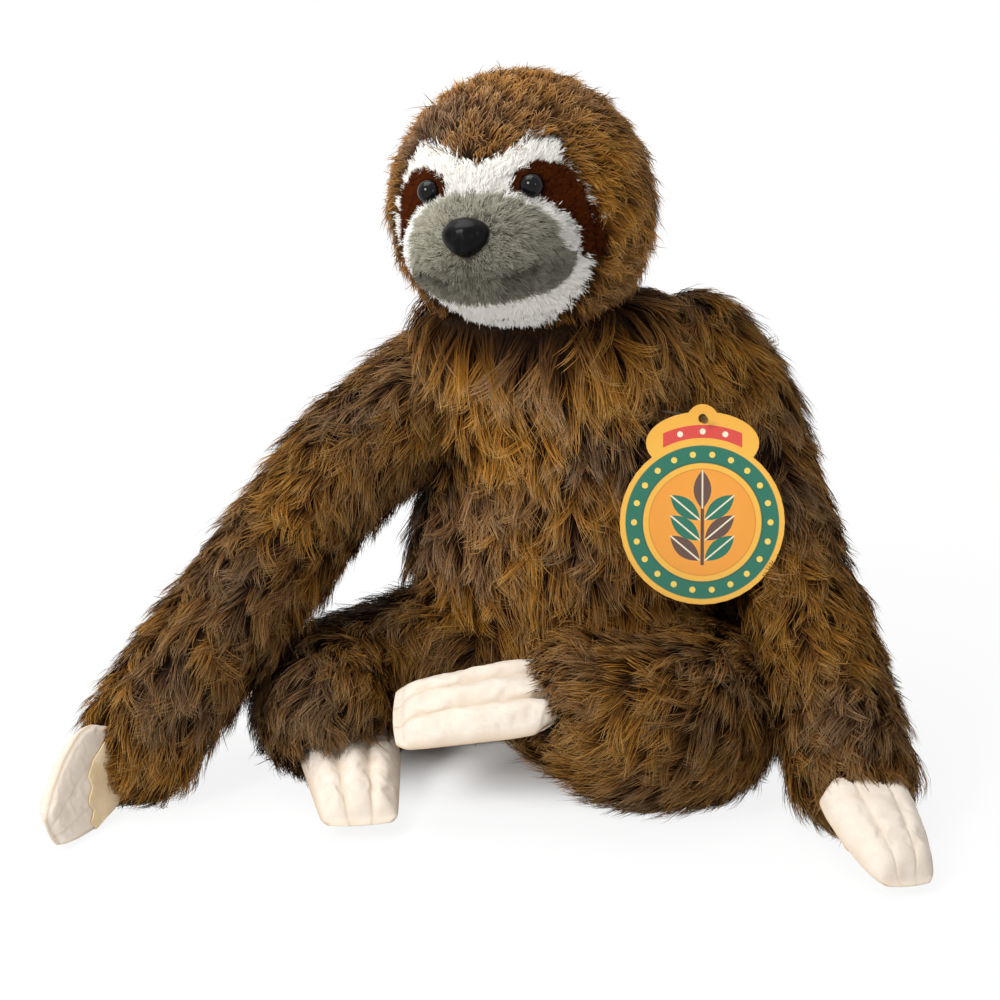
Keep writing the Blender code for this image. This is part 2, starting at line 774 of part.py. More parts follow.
eye_across_share = 0.418
eye_reach = eye_across_share * head_radius
muzzle_edge = muzzle_half_height * math.sqrt(1 - (eye_reach / muzzle_half_width) ** 2) - muzzle_drop
eye_up_share = (muzzle_edge + eye_lift) / head_radius
muzzle_centre = Vector((0, -muzzle_forward, -muzzle_drop))
for name, side in (("left", 1), ("right", -1)):
    shares = patch_shares if side > 0 else mirrored(patch_shares)
    face_panel = boolean(face_panel, outline_block(f"{name}_patch_hole", shares, seam_gap / 2))
    patch = copy_of(face_whole, f"{name}_eye_patch", parts, brown_velour)
    patch = boolean(patch, outline_block(f"{name}_patch_plug", shares, -seam_gap / 2), "INTERSECT")

    across = side * eye_across_share
    ahead = -math.sqrt(1 - across ** 2 - eye_up_share ** 2)
    look = (head_frame.to_3x3() @ Vector((across, ahead, eye_up_share))).normalized()
    seat = head_centre + look * (head_radius + seam_gap)
    shape = bmesh.new()
    bmesh.ops.create_uvsphere(shape, u_segments=small_segments, v_segments=small_rings, radius=eye_radius)
    bmesh.ops.scale(shape, vec=(1, 1, eye_height / eye_radius), verts=shape.verts)
    whole = shape.verts[:] + shape.edges[:] + shape.faces[:]
    bmesh.ops.bisect_plane(shape, geom=whole, plane_co=(0, 0, 0), plane_no=(0, 0, 1), clear_inner=True)
    bmesh.ops.holes_fill(shape, edges=shape.edges)
    turn = look.to_track_quat("Z", "Y").to_matrix().to_4x4()
    bmesh.ops.transform(shape, matrix=Matrix.Translation(seat) @ turn, verts=shape.verts)
    eye = from_bmesh(f"{name}_eye", shape, parts, black_plastic)
    shank = cylinder(f"{name}_shank", shank_radius, seat - look * shank_length, seat + look * eye_height / 2)
    eye = boolean(eye, shank, "UNION")

    inner = head_radius * head_facet_share - cover_thickness - seam_gap
    depth = head_radius + seam_gap - math.sqrt(inner ** 2 - washer_radius ** 2)
    washer = cylinder(
        f"{name}_eye_washer", washer_radius, seat - look * depth,
        seat - look * (depth + washer_thickness), parts, clear_plastic, round_segments,
    )
    hole = cylinder(
        f"{name}_eye_hole", shank_radius + seam_gap, seat - look * (shank_length + seam_gap),
        seat + look * overrun,
    )
    pocket = cylinder(
        f"{name}_eye_pocket", washer_radius + seam_gap, seat - look * (shank_length + seam_gap),
        seat + look * overrun, segments=round_segments,
    )
    washer = boolean(washer, hole)
    patch = boolean(patch, hole)
    head_filling = boolean(head_filling, pocket)

shape = bmesh.new()
bmesh.ops.create_uvsphere(shape, u_segments=head_segments, v_segments=head_rings, radius=1)
bmesh.ops.scale(shape, vec=(muzzle_half_width, muzzle_depth, muzzle_half_height), verts=shape.verts)
bmesh.ops.transform(shape, matrix=head_frame @ Matrix.Translation(muzzle_centre), verts=shape.verts)
muzzle_skin = from_bmesh("muzzle_skin", shape, cutters)
head_clear = ball(
    "head_clear", head_centre, head_radius + seam_gap, segments=head_segments, rings=head_rings
)
for vertex in head_clear.data.vertices:
    if vertex.co.z > head_centre.z:
        vertex.co.z = head_centre.z + (vertex.co.z - head_centre.z) * crown_share
muzzle_cover = cover_of(muzzle_skin, "muzzle_cover", grey_plush)
muzzle_cover = boolean(muzzle_cover, head_clear)
muzzle_filling = grown(muzzle_skin, "muzzle_filling", -cover_thickness - filling_gap, parts, fibre)
muzzle_filling = boolean(muzzle_filling, head_clear)

nose_rise_share = 0.95
nose_middle_share = 0.84
nose_spread_share = 0.26
nose_up = muzzle_drop * nose_rise_share
nose_share = nose_up / muzzle_half_height
nose_ahead = muzzle_depth * math.sqrt(1 - nose_share ** 2)
nose_look = Vector((0, -nose_ahead / muzzle_depth ** 2, nose_up / muzzle_half_height ** 2)).normalized()
nose_place = head_frame @ (muzzle_centre + Vector((0, -nose_ahead, nose_up)))
look = (head_frame.to_3x3() @ nose_look).normalized()
side = (head_frame.to_3x3() @ Vector((1, 0, 0))).normalized()
nose_turn = Matrix((side, -look, side.cross(-look))).transposed().to_4x4()
shape = bmesh.new()
bmesh.ops.create_uvsphere(shape, u_segments=nose_segments, v_segments=nose_rings, radius=1)
for vertex in shape.verts:
    vertex.co.x *= nose_half_width * (nose_middle_share + nose_spread_share * vertex.co.z)
    vertex.co.y *= nose_depth
    vertex.co.z *= nose_half_height
bmesh.ops.transform(shape, matrix=Matrix.Translation(nose_place) @ nose_turn, verts=shape.verts)
nose = from_bmesh("nose", shape, parts, black_plastic)
nose = boolean(nose, grown(muzzle_skin, "muzzle_clear", seam_gap))
shank = cylinder(
    "nose_shank", shank_radius, nose_place - look * shank_length, nose_place + look * nose_depth / 2
)
nose = boolean(nose, shank, "UNION")
hole = cylinder(
    "nose_hole", shank_radius + seam_gap, nose_place - look * (shank_length + seam_gap),
    nose_place + look * overrun,
)
depth = cover_thickness + seam_gap + washer_radius ** 2 / (2 * muzzle_half_height) + washer_slack
nose_washer = cylinder(
    "nose_washer", washer_radius, nose_place - look * depth,
    nose_place - look * (depth + washer_thickness), parts, clear_plastic, round_segments,
)
nose_washer = boolean(nose_washer, hole)
muzzle_cover = boolean(muzzle_cover, hole)
muzzle_filling = boolean(muzzle_filling, cylinder(
    "nose_pocket", washer_radius + seam_gap, nose_place - look * (shank_length + seam_gap),
    nose_place + look * overrun, segments=round_segments,
))

# Mouth: one stitched thread on the muzzle, lifted a little at its ends
mouth_half_share = 0.62
mouth_drop_share = 0.40
mouth_lift_share = 0.16
mouth_points = 15
thread = bpy.data.curves.new("mouth_stitch", "CURVE")
thread.dimensions = "3D"
thread.bevel_depth = thread_radius
thread.bevel_resolution = 1
thread.use_fill_caps = True
line = thread.splines.new("POLY")
line.points.add(mouth_points - 1)
for number, point in enumerate(line.points):
    part = 2 * number / (mouth_points - 1) - 1
    across = part * mouth_half_share
    up = -mouth_drop_share + mouth_lift_share * part * part
    ahead = math.sqrt(1 - across ** 2 - up ** 2)
    lift = thread_radius + seam_gap
    place = Vector((
        across * (muzzle_half_width + lift), -ahead * (muzzle_depth + lift), up * (muzzle_half_height + lift)
    ))
    point.co = (*(head_frame @ (muzzle_centre + place)), 1)
mouth = bpy.data.objects.new("mouth_stitch", thread)
parts.objects.link(mouth)
mouth = apply_modifiers(mouth)
mouth.data.materials.append(dark_thread)


# Hang tag: a round card with an arched header and a tab, on a nylon fastener through the chest

tag_hook = Vector((tag_side, -tag_out, tag_height))
card_turn = Matrix.Rotation(-card_lean, 4, "X")
card_normal = card_turn.to_3x3() @ Vector((0, -1, 0))
card_down = card_turn.to_3x3() @ Vector((0, 0, -1))
half = card_normal * card_thickness / 2
tag_hole = tag_hook + card_down * (card_hole_radius - filament_radius - 3 * seam_gap)
card_middle = tag_hole + card_down * card_drop
hang_tag = cylinder(
    "hang_tag", card_radius, card_middle - half, card_middle + half, parts, printed_card, card_segments
)
tab_rise_share = 0.1
tab_middle = tag_hole + card_down * card_tab_radius * tab_rise_share
tab = cylinder("card_tab", card_tab_radius, tab_middle - half, tab_middle + half, segments=round_segments)
hang_tag = boolean(hang_tag, tab, "UNION")
header_middle = tag_hole + card_down * header_drop
header = cylinder(
    "card_header", header_half_height, header_middle - half, header_middle + half,
    segments=card_segments, wide=header_half_width / header_half_height,
)
hang_tag = boolean(hang_tag, header, "UNION")
hang_tag = boolean(hang_tag, cylinder(
    "card_hole", card_hole_radius, tag_hole - half * 4, tag_hole + half * 4, segments=small_segments,
))


def chest_ahead(across, height):
    """How far the chest's surface stands in front of the origin, on its smoothed rings."""
    low, part = ring_below(height)
    wide = between_rings(ring_width_shares, low, part)
    deep = between_rings(ring_depth_shares, low, part)
    middle = spine_at(height)
    reach = (across - middle.x) / (belly_half_width * wide)
    return middle.y - belly_half_depth * deep * math.sqrt(1 - reach ** 2)


anchor = Vector((tag_anchor_side, chest_ahead(tag_anchor_side, tag_height), tag_height))
barb = anchor + Vector((0, 1, 0)) * (cover_thickness * 2.5)
route = (
    tag_hook + Vector((card_hole_radius / 4, -paddle_stand_off, 0)),
    tag_hook + Vector((0, behind_card, 0)),
    (tag_hook + anchor) / 2 + Vector((0, -card_hole_radius, 0)),
    anchor + Vector((0, -overrun, 0)),
    barb,
)
filament = bpy.data.curves.new("tag_fastener", "CURVE")
filament.dimensions = "3D"
filament.bevel_depth = filament_radius
filament.bevel_resolution = 2
filament.use_fill_caps = True
run = filament.splines.new("POLY")
run.points.add(len(route) - 1)
for point, place in zip(run.points, route):
    point.co = (*place, 1)
fastener = bpy.data.objects.new("tag_fastener", filament)
parts.objects.link(fastener)
fastener = apply_modifiers(fastener)
fastener.data.materials.append(clear_plastic)
paddle = cylinder(
    "paddle", paddle_radius, route[0] + Vector((0, filament_radius, 0)),
    route[0] - Vector((0, filament_radius, filament_radius / 5)),
)
fastener = boolean(fastener, paddle, "UNION")
bar = Vector((0, 0, barb_half_length))
fastener = boolean(fastener, cylinder("barb", filament_radius * 1.5, barb - bar, barb + bar), "UNION")
anchor_hole = cylinder(
    "anchor_hole", filament_radius + seam_gap * 2, anchor - Vector((0, overrun * 2, 0)), barb,
)
anchor_pocket = cylinder(
    "anchor_pocket", barb_half_length + seam_gap * 3, anchor - Vector((0, overrun, 0)),
    barb + Vector((0, filament_radius * 2 + seam_gap, 0)),
)
torso_cover = boolean(torso_cover, anchor_hole)
torso_filling = boolean(torso_filling, anchor_pocket)

# Joints: every moving piece has its origin on its joint's axis

pivots = {
    "head": head_centre,
    "left_shoulder": Vector(left_shoulder[0][:3]),
    "right_shoulder": Vector(right_shoulder[0][:3]),
    "left_hip": Vector(left_hip[0][:3]),
    "right_hip": Vector(right_hip[0][:3]),
    "tag": tag_hook,
}
for name, (pivot, across) in hinges.items():
    pivots[name] = pivot
bodies = {
    "head": (
        "head_cover", "head_filling", "face_panel", "left_eye_patch", "right_eye_patch", "left_eye",
        "right_eye", "left_eye_washer", "right_eye_washer", "muzzle_cover", "muzzle_filling", "nose",
        "nose_washer", "mouth_stitch",
    ),
    "left_shoulder": ("left_arm_cover", "left_arm_filling"),
    "right_shoulder": ("right_arm_cover", "right_arm_filling"),
    "left_hip": ("left_leg_cover", "left_leg_filling"),
    "right_hip": ("right_leg_cover", "right_leg_filling"),
    "left_hand_claws": ("left_hand_claws", "left_palm_pad"),
    "right_hand_claws": ("right_hand_claws", "right_palm_pad"),
    "left_foot_claws": ("left_foot_claws",),
    "right_foot_claws": ("right_foot_claws",),
    "tag": ("hang_tag",),
}


def set_origin(thing, point):
    thing.data.transform(Matrix.Translation(-point))
    thing.location = point


for body, names in bodies.items():
    for name in names:
        set_origin(parts.objects[name], pivots[body])

for thing in parts.objects:
    smooth(thing)

for body, pivot in pivots.items():
    print(body, "pivot", [round(value, 5) for value in pivot])
for body, (pivot, across) in hinges.items():
    print(body, "axis", [round(value, 5) for value in across])
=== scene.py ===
# %% [markdown]
# # A seated plush sloth
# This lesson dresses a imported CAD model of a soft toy. The toy is long-pile fur fabric sewn into a
# torso, a head, two arms and two legs, with a short-pile face, a grey muzzle, suede claws, plastic
# eyes and nose, and a card tag. The CAD solids fix every size and place. Here each one gets its look.

import json
import math
from collections import namedtuple

import bpy
import numpy as np
from mathutils import Matrix, Vector
from mathutils.bvhtree import BVHTree

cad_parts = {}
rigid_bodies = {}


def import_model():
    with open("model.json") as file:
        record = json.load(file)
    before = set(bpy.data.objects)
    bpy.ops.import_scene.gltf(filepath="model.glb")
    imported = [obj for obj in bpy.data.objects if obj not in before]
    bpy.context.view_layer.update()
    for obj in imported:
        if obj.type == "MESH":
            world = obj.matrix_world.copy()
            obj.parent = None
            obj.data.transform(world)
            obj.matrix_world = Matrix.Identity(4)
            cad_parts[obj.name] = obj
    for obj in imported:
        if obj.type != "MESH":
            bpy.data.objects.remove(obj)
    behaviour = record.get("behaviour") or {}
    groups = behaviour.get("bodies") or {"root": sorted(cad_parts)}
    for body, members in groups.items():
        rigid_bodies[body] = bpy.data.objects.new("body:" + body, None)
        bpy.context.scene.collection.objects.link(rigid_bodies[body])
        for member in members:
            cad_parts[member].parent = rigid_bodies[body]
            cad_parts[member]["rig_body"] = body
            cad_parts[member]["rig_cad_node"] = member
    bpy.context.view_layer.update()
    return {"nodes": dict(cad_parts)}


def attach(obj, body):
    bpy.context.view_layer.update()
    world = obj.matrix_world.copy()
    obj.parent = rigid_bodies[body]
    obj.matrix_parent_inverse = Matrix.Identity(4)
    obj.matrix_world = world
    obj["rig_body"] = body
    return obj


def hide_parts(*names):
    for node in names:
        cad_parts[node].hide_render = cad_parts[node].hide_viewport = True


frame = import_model()
nodes = frame["nodes"]

# %% [markdown]
# Materials come first. Colours are written as the hex values that a picture shows, so one function
# turns them to the linear numbers that the shader wants. A second function adds any node, with its
# settings and its links, which keeps each material short.

# %% Colour and node helpers
MM = 0.001


def linear(hex_colour):
    """An sRGB hex colour as linear RGBA."""
    parts = [int(hex_colour[at:at + 2], 16) / 255 for at in (1, 3, 5)]
    lit = [part / 12.92 if part <= 0.04045 else ((part + 0.055) / 1.055) ** 2.4 for part in parts]
    return (*lit, 1.0)


def add_node(tree, kind, settings=(), out=0, stops=(), **links):
    """Adds a node and gives one of its outputs. A link is a value or another node's output."""
    node = tree.nodes.new(kind)
    for name, value in dict(settings).items():
        setattr(node, name, value)
    for name, value in links.items():
        key = int(name[1:]) if name[1:].isdigit() else name.replace("_", " ")
        if isinstance(value, bpy.types.NodeSocket):
            tree.links.new(value, node.inputs[key])
        else:
            node.inputs[key].default_value = value
    if stops:
        band = node.color_ramp.elements
        band[0].position, band[1].position = stops[0][0], stops[-1][0]
        for place, _ in stops[1:-1]:
            band.new(place)
        for element, (_, colour) in zip(band, stops):
            element.color = linear(colour)
    return node.outputs[out] if node.outputs else node


def new_material(name, roughness, **constants):
    """A Principled material with its constants on the sockets. Returns it, its tree and its shader."""
    made = bpy.data.materials.new(name)
    made.use_nodes = True
    tree = made.node_tree
    shader = tree.nodes["Principled BSDF"]
    shader.inputs["Roughness"].default_value = roughness
    for key, value in constants.items():
        shader.inputs[key.replace("_", " ")].default_value = value
    return made, tree, shader


print("red #ff0000 is", linear("#ff0000"))

# %% [markdown]
# All the pile is acrylic fibre: dark at the root and light at the tip, so that gaps between the locks
# look deep. Each fibre carries three numbers. `along` runs from 0 at the root to 1 at the tip, `tone`
# says how golden its lock is, and `lit` makes it a little lighter or darker than its neighbours. The
# shader only has to turn them into colour. Acrylic has a soft gleam, and hardly mirrors the room.
# The long pile is frosted, so its tips are golden or greyish. The white and the grey plush are dyed in
# one tone. Velour is the shortest and densest pile, and it takes in nearly all the light.

# %% Acrylic pile
def pile_material(name, warm, cool, roughness=0.55, gleam=0.06):
    made, tree, shader = new_material(name, roughness, Specular_IOR_Level=gleam)
    read = {
        key: add_node(tree, "ShaderNodeAttribute", {"attribute_name": key}, out="Fac")
        for key in ("along", "tone", "lit")
    }
    sides = [
        add_node(tree, "ShaderNodeValToRGB", Fac=read["along"], stops=stops) for stops in (cool, warm)
    ]
    hue = add_node(
        tree, "ShaderNodeMix", {"data_type": "RGBA"}, out=2, _0=read["tone"], _6=sides[0], _7=sides[1]
    )
    hue = add_node(tree, "ShaderNodeHueSaturation", Color=hue, Value=read["lit"])
    tree.links.new(hue, shader.inputs["Base Color"])
    return made


long_pile = pile_material(
    "long_acrylic_pile",
    ((0.0, "#170c03"), (0.35, "#5a3710"), (0.75, "#ae7529"), (1.0, "#e3b56c")),
    ((0.0, "#110a05"), (0.35, "#392416"), (0.75, "#7e6045"), (1.0, "#b99c7b")),
)
white_pile = pile_material(
    "white_acrylic_plush",
    ((0.0, "#f1eee6"), (0.5, "#f8f6f0"), (1.0, "#fcfaf6")),
    ((0.0, "#ece8de"), (0.5, "#f4f1e9"), (1.0, "#f8f6f1")),
)
grey_pile = pile_material(
    "grey_acrylic_plush",
    ((0.0, "#3f3d33"), (0.5, "#8a8776"), (1.0, "#b9b6a5")),
    ((0.0, "#33312a"), (0.5, "#757263"), (1.0, "#9f9c8b")),
)
velour_pile = pile_material(
    "brown_velour",
    ((0.0, "#240c01"), (0.5, "#461d06"), (1.0, "#5f2c10")),
    ((0.0, "#1c0a01"), (0.5, "#351604"), (1.0, "#4a210b")),
    roughness=0.8, gleam=0.02,
)
print("piles:", [pile.name for pile in (long_pile, white_pile, grey_pile, velour_pile)])

# %% [markdown]
# The pile is knitted into a backing, which shows only as a dark gap between the locks. Each colour of
# pile has a backing of its own colour. A stitch of the knit is about 1.5 mm wide, and matt.

# %% Knitted backings
stitch = 1.5 * MM


def knitted(name, dark, light):
    made, tree, shader = new_material(name, 0.95, Specular_IOR_Level=0.1)
    where = add_node(tree, "ShaderNodeTexCoord", out="Object")
    knit = add_node(tree, "ShaderNodeTexVoronoi", Vector=where, Scale=1 / stitch)
    colour = add_node(tree, "ShaderNodeValToRGB", Fac=knit, stops=((0.2, light), (0.8, dark)))
    tree.links.new(colour, shader.inputs["Base Color"])
    bump = add_node(tree, "ShaderNodeBump", Height=knit, Distance=0.3 * MM, Strength=0.6)
    tree.links.new(bump, shader.inputs["Normal"])
    return made


brown_backing = knitted("brown_knitted_backing", "#1c110a", "#33210f")
white_backing = knitted("white_knitted_backing", "#e6e1d6", "#f3f0e8")
grey_backing = knitted("grey_knitted_backing", "#3b382f", "#59554a")
patch_backing = knitted("dark_brown_knitted_backing", "#220b04", "#3a1508")
print("materials:", sorted(m.name for m in bpy.data.materials if m.users == 0))

# %% [markdown]
# The camera stands where the photographer stood: about 1.15 m away, looking down 18 degrees, with a
# lens that makes the toy fill the frame.

# %% Camera
look_at = Vector((-0.041, -0.050, 0.121))
camera_distance = 1.15
camera_height = math.radians(18)
camera_data = bpy.data.cameras.new("camera")
camera_data.lens = 92
camera_data.sensor_width = 36
camera = bpy.data.objects.new("camera", camera_data)
bpy.context.scene.collection.objects.link(camera)
away = Vector((0, -math.cos(camera_height), math.sin(camera_height)))
camera.location = look_at + away * camera_distance
camera.rotation_euler = (-away).to_track_quat("-Z", "Y").to_euler()
bpy.context.scene.camera = camera
bpy.context.scene.view_settings.view_transform = "Standard"
print("camera at", [round(value, 3) for value in camera.location])

# %% [markdown]
# The studio is a pale floor under a white world. The camera sees the world as white at a strength of
# 1, while it lights the toy at about a third of that. What the plastic mirrors and what shows through
# the nylon is the same white, so one helper picks these three kinds of ray.

# %% Rays that see the background
def background_ray(tree):
    """1 for a ray that comes from the camera, is mirrored, or goes through the nylon."""
    seen = 0.0
    for ray in ("Is Camera Ray", "Is Glossy Ray", "Is Transmission Ray"):
        kind = add_node(tree, "ShaderNodeLightPath", out=ray)
        seen = add_node(tree, "ShaderNodeMath", {"operation": "MAXIMUM"}, _0=seen, _1=kind)
    return seen


# %% [markdown]
# Close to the toy the floor is matt paper that keeps its shadow. Further out it glows more and more,
# until it meets the white world with no edge. The two Map Ranges do that, by the distance from a
# spot under the toy. The spot is wider than deep, as the toy is.

# %% Floor
under_toy = (-0.03, -0.04, 0)
shadow_ends, glow_starts, all_glows = 0.030, 0.088, 0.4
near_glow, far_glow = 0.88, 0.12
bpy.ops.object.select_all(action="DESELECT")
bpy.ops.mesh.primitive_plane_add(size=24, location=(0, 0, 0))
floor = bpy.context.object
floor.name = "floor"
floor_paint = bpy.data.materials.new("matt_white_paper")
floor_paint.use_nodes = True
tree = floor_paint.node_tree
tree.nodes.clear()
matt = add_node(tree, "ShaderNodeBsdfDiffuse", Color=linear("#fafafa"))
glow = add_node(tree, "ShaderNodeEmission", Color=(1, 1, 1, 1), Strength=1.0)
where = add_node(tree, "ShaderNodeTexCoord", out="Object")
where = add_node(
    tree, "ShaderNodeMapping", {"vector_type": "TEXTURE"}, Vector=where, Location=under_toy,
    Scale=(1.5, 1, 1),
)
reach = add_node(tree, "ShaderNodeVectorMath", {"operation": "LENGTH"}, out="Value", _0=where)
share = add_node(
    tree, "ShaderNodeMapRange", {"interpolation_type": "SMOOTHSTEP"},
    Value=reach, From_Min=shadow_ends, From_Max=glow_starts, To_Min=0.0, To_Max=near_glow,
)
far_share = add_node(
    tree, "ShaderNodeMapRange", {"interpolation_type": "SMOOTHSTEP"},
    Value=reach, From_Min=glow_starts, From_Max=all_glows, To_Min=0.0, To_Max=far_glow,
)
share = add_node(tree, "ShaderNodeMath", {"operation": "ADD"}, _0=share, _1=far_share)
share = add_node(tree, "ShaderNodeMath", {"operation": "MULTIPLY"}, _0=share, _1=background_ray(tree))
paper = add_node(tree, "ShaderNodeMixShader", _0=share, _1=matt, _2=glow)
add_node(tree, "ShaderNodeOutputMaterial", Surface=paper)
floor.data.materials.append(floor_paint)
print(floor.name, "is", [round(side, 1) for side in floor.dimensions], "m")

# %% [markdown]
# The world is white where the camera sees it, also through clear pieces and in glossy ones. What
# lights the toy is weaker, and has nothing to do with the colour of the background.

# %% World
world_light = 0.31
world = bpy.data.worlds.new("white_studio")
bpy.context.scene.world = world
world.use_nodes = True
tree = world.node_tree
tree.nodes.clear()
level = add_node(
    tree, "ShaderNodeMix", {"data_type": "FLOAT"}, _0=background_ray(tree), _2=world_light, _3=1.0
)
sky = add_node(tree, "ShaderNodeBackground", Color=(1, 1, 1, 1), Strength=level)
add_node(tree, "ShaderNodeOutputWorld", Surface=sky)
print(world.name, "lights at", world_light)

# %% [markdown]
# The main light is a soft box high on the left. A weaker one fills the right, and one behind lifts the
# crown and the shoulders off the background.

# %% Lamps
def soft_box(name, place, size, power):
    lamp = bpy.data.lights.new(name, "AREA")
    lamp.shape = "RECTANGLE"
    lamp.size = lamp.size_y = size
    lamp.energy = power
    made = bpy.data.objects.new(name, lamp)
    bpy.context.scene.collection.objects.link(made)
    made.location = place
    made.rotation_euler = (look_at - Vector(place)).to_track_quat("-Z", "Y").to_euler()
    print(name, "is", round((look_at - Vector(place)).length, 2), "m away")


soft_box("key_box", (-0.85, -0.95, 1.00), 0.42, 14)
soft_box("fill_box", (0.80, -1.20, 0.80), 0.25, 2.0)
soft_box("top_box", (-0.35, 0.10, 1.25), 0.80, 9)

# %% [markdown]
# Each fur piece starts as a copy of its CAD cover. The copy's triangles are loose, so they are merged
# first. The pile then grows on the outer side only, which is the side away from the filling.

# %% Cloth copies
def cloth_copy(node, name):
    """A merged copy of a CAD node, ready to be shaped."""
    made = nodes[node].copy()
    made.data = nodes[node].data.copy()
    made.name = made.data.name = name
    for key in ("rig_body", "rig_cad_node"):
        if key in made:
            del made[key]
    made.parent = None
    bpy.context.scene.collection.objects.link(made)
    bpy.ops.object.select_all(action="DESELECT")
    made.select_set(True)
    bpy.context.view_layer.objects.active = made
    bpy.ops.object.mode_set(mode="EDIT")
    bpy.ops.mesh.select_all(action="SELECT")
    bpy.ops.mesh.remove_doubles(threshold=0.01 * MM)
    bpy.ops.object.mode_set(mode="OBJECT")
    made.data.materials.clear()
    return made


def triangles_of(mesh):
    """Corner places of every triangle, as an array."""
    mesh.calc_loop_triangles()
    places = np.empty(len(mesh.vertices) * 3)
    mesh.vertices.foreach_get("co", places)
    corners = np.empty(len(mesh.loop_triangles) * 3, np.int32)
    mesh.loop_triangles.foreach_get("vertices", corners)
    return places.reshape(-1, 3)[corners.reshape(-1, 3)]


print("the torso's skin has", len(triangles_of(nodes["torso_cover"].data)), "triangles")

# %% [markdown]
# Fur is combed, so it needs a field that says which way it lies, and a soft noise that makes it swirl
# and mottle. The noise is a small table of random numbers on a grid, blended smoothly in between.

# %% A soft noise in space
noise_table = np.random.default_rng(11).random(4096)


def soft_noise(places, size, seed=0):
    """Smooth values from 0 to 1 whose bumps are about size metres apart."""
    at = places / size + 37.0 * seed + 100.0
    low = np.floor(at).astype(np.int64)
    part = at - low
    part = part * part * (3 - 2 * part)
    total = np.zeros(len(places))
    for corner in range(8):
        step = np.array([corner & 1, corner >> 1 & 1, corner >> 2 & 1])
        cell = low + step
        index = (cell[:, 0] * 73 + cell[:, 1] * 179 + cell[:, 2] * 283 + seed * 977) % 4096
        weight = np.prod(np.where(step, part, 1 - part), axis=1)
        total += weight * noise_table[index]
    return total


print("noise at the origin:", soft_noise(np.zeros((1, 3)), 10 * MM).round(3))


# %% [markdown]
# A pile leans along its skin and not through it. So the part of a direction that points into or out
# of the skin is taken off, and what is left gets a length of one, before the lean is added.

# %% Directions
def unit(vectors):
    return vectors / np.maximum(np.linalg.norm(vectors, axis=-1, keepdims=True), 1e-9)


def across_surface(vectors, normals):
    """The part of each vector that lies in the surface, as a unit vector."""
    return unit(vectors - normals * (vectors * normals).sum(-1, keepdims=True))


def turned(vectors, axes, angles):
    """Each vector, turned about its axis by its angle."""
    c, s = np.cos(angles)[:, None], np.sin(angles)[:, None]
    on_axis = axes * (vectors * axes).sum(-1, keepdims=True)
    return vectors * c + np.cross(axes, vectors) * s + on_axis * (1 - c)


print("X turned about Z:", turned(np.eye(3)[:1], np.eye(3)[2:], np.array([math.pi / 2])).round(3))

# %% [markdown]
# A lock is a dozen or more fibres that cling together. Its middle line is walked over the cloth in
# short steps, always combed by the field and pulled back to the surface, and it rises as it goes.

# %% Locks
stations = 5
Pile = namedtuple("Pile", "length lift swirl curl spread clump width droop uneven")


def lock_lines(tree, roots, normals, flow, lengths, pile, seed, rng):
    """Places and up directions of each lock's middle line at its stations."""
    angle = (soft_noise(roots, 22 * MM, seed) - 0.5) * 2 * pile.swirl
    angle += (soft_noise(roots, 7 * MM, seed + 1) - 0.5) * pile.swirl
    curl = rng.normal(0, pile.curl, len(roots))
    lift = pile.lift * rng.uniform(0.55, 1.5, len(roots))
    line, ups = [roots], [normals]
    here, up = roots, normals
    for station in range(1, stations):
        share = station / (stations - 1)
        way = turned(across_surface(flow(here), up), up, angle + curl * share)
        here = here + way * (lengths / (stations - 1))[:, None]
        found = [tree.find_nearest(Vector(place)) for place in here]
        spot = np.array([hit[0] for hit in found])
        facing = np.array([hit[1] for hit in found])
        up = unit(up + facing)
        sink = ((spot - here) * up).sum(-1, keepdims=True)
        here = here + up * sink
        rise = lift * math.sin(math.pi / 2 * share) ** 0.8
        line.append(here + up * (rise * lengths)[:, None])
        ups.append(up)
    return np.stack(line, 1), np.stack(ups, 1)


print("a lock is a", Pile.__name__, "of", Pile._fields)

# %% [markdown]
# Each lock needs a root on the outer side of the cloth. A skin is a closed solid with two sides, and
# its inner one lies on the stuffing, so only faces that are further from the stuffing than the skin's
# thickness count. The roots are spread by area, with a little chance in each step.

# %% Roots
def outer_roots(mesh, inner_tree, wall, count, rng):
    """Evenly spread points on the outer faces, with their face normals."""
    corners = triangles_of(mesh)
    crosses = np.cross(corners[:, 1] - corners[:, 0], corners[:, 2] - corners[:, 0])
    areas = np.linalg.norm(crosses, axis=1) / 2
    outer = np.array([inner_tree.find_nearest(Vector(place))[3] > wall for place in corners.mean(1)])
    areas = areas * outer
    total = areas.sum()
    marks = (np.arange(count) + rng.random(count)) / count * total
    picked = np.minimum(np.searchsorted(np.cumsum(areas), marks), len(areas) - 1)
    u, v = rng.random(count), rng.random(count)
    flip = u + v > 1
    u[flip], v[flip] = 1 - u[flip], 1 - v[flip]
    first, second, third = corners[picked].transpose(1, 0, 2)
    places = first + (second - first) * u[:, None] + (third - first) * v[:, None]
    return places, unit(crosses[picked]), total


# %% [markdown]
# The fibres of a lock start apart and meet near the tip, as tufts of long pile do, and a few stray.
# Each fibre is a flat ribbon of three faces, because there are hundreds of thousands of them.
# Modelling them by hand would be hopeless, so numpy lays them all out at once.

# %% Ribbons
ribbon_stations = np.array([0.0, 0.4, 0.75, 1.0])
ribbon_widths = np.array([0.9, 1.0, 0.7])
floor_clearance = 0.4 * MM
root_depth = 0.8 * MM
stray_share, stray_hold = 0.16, 0.35


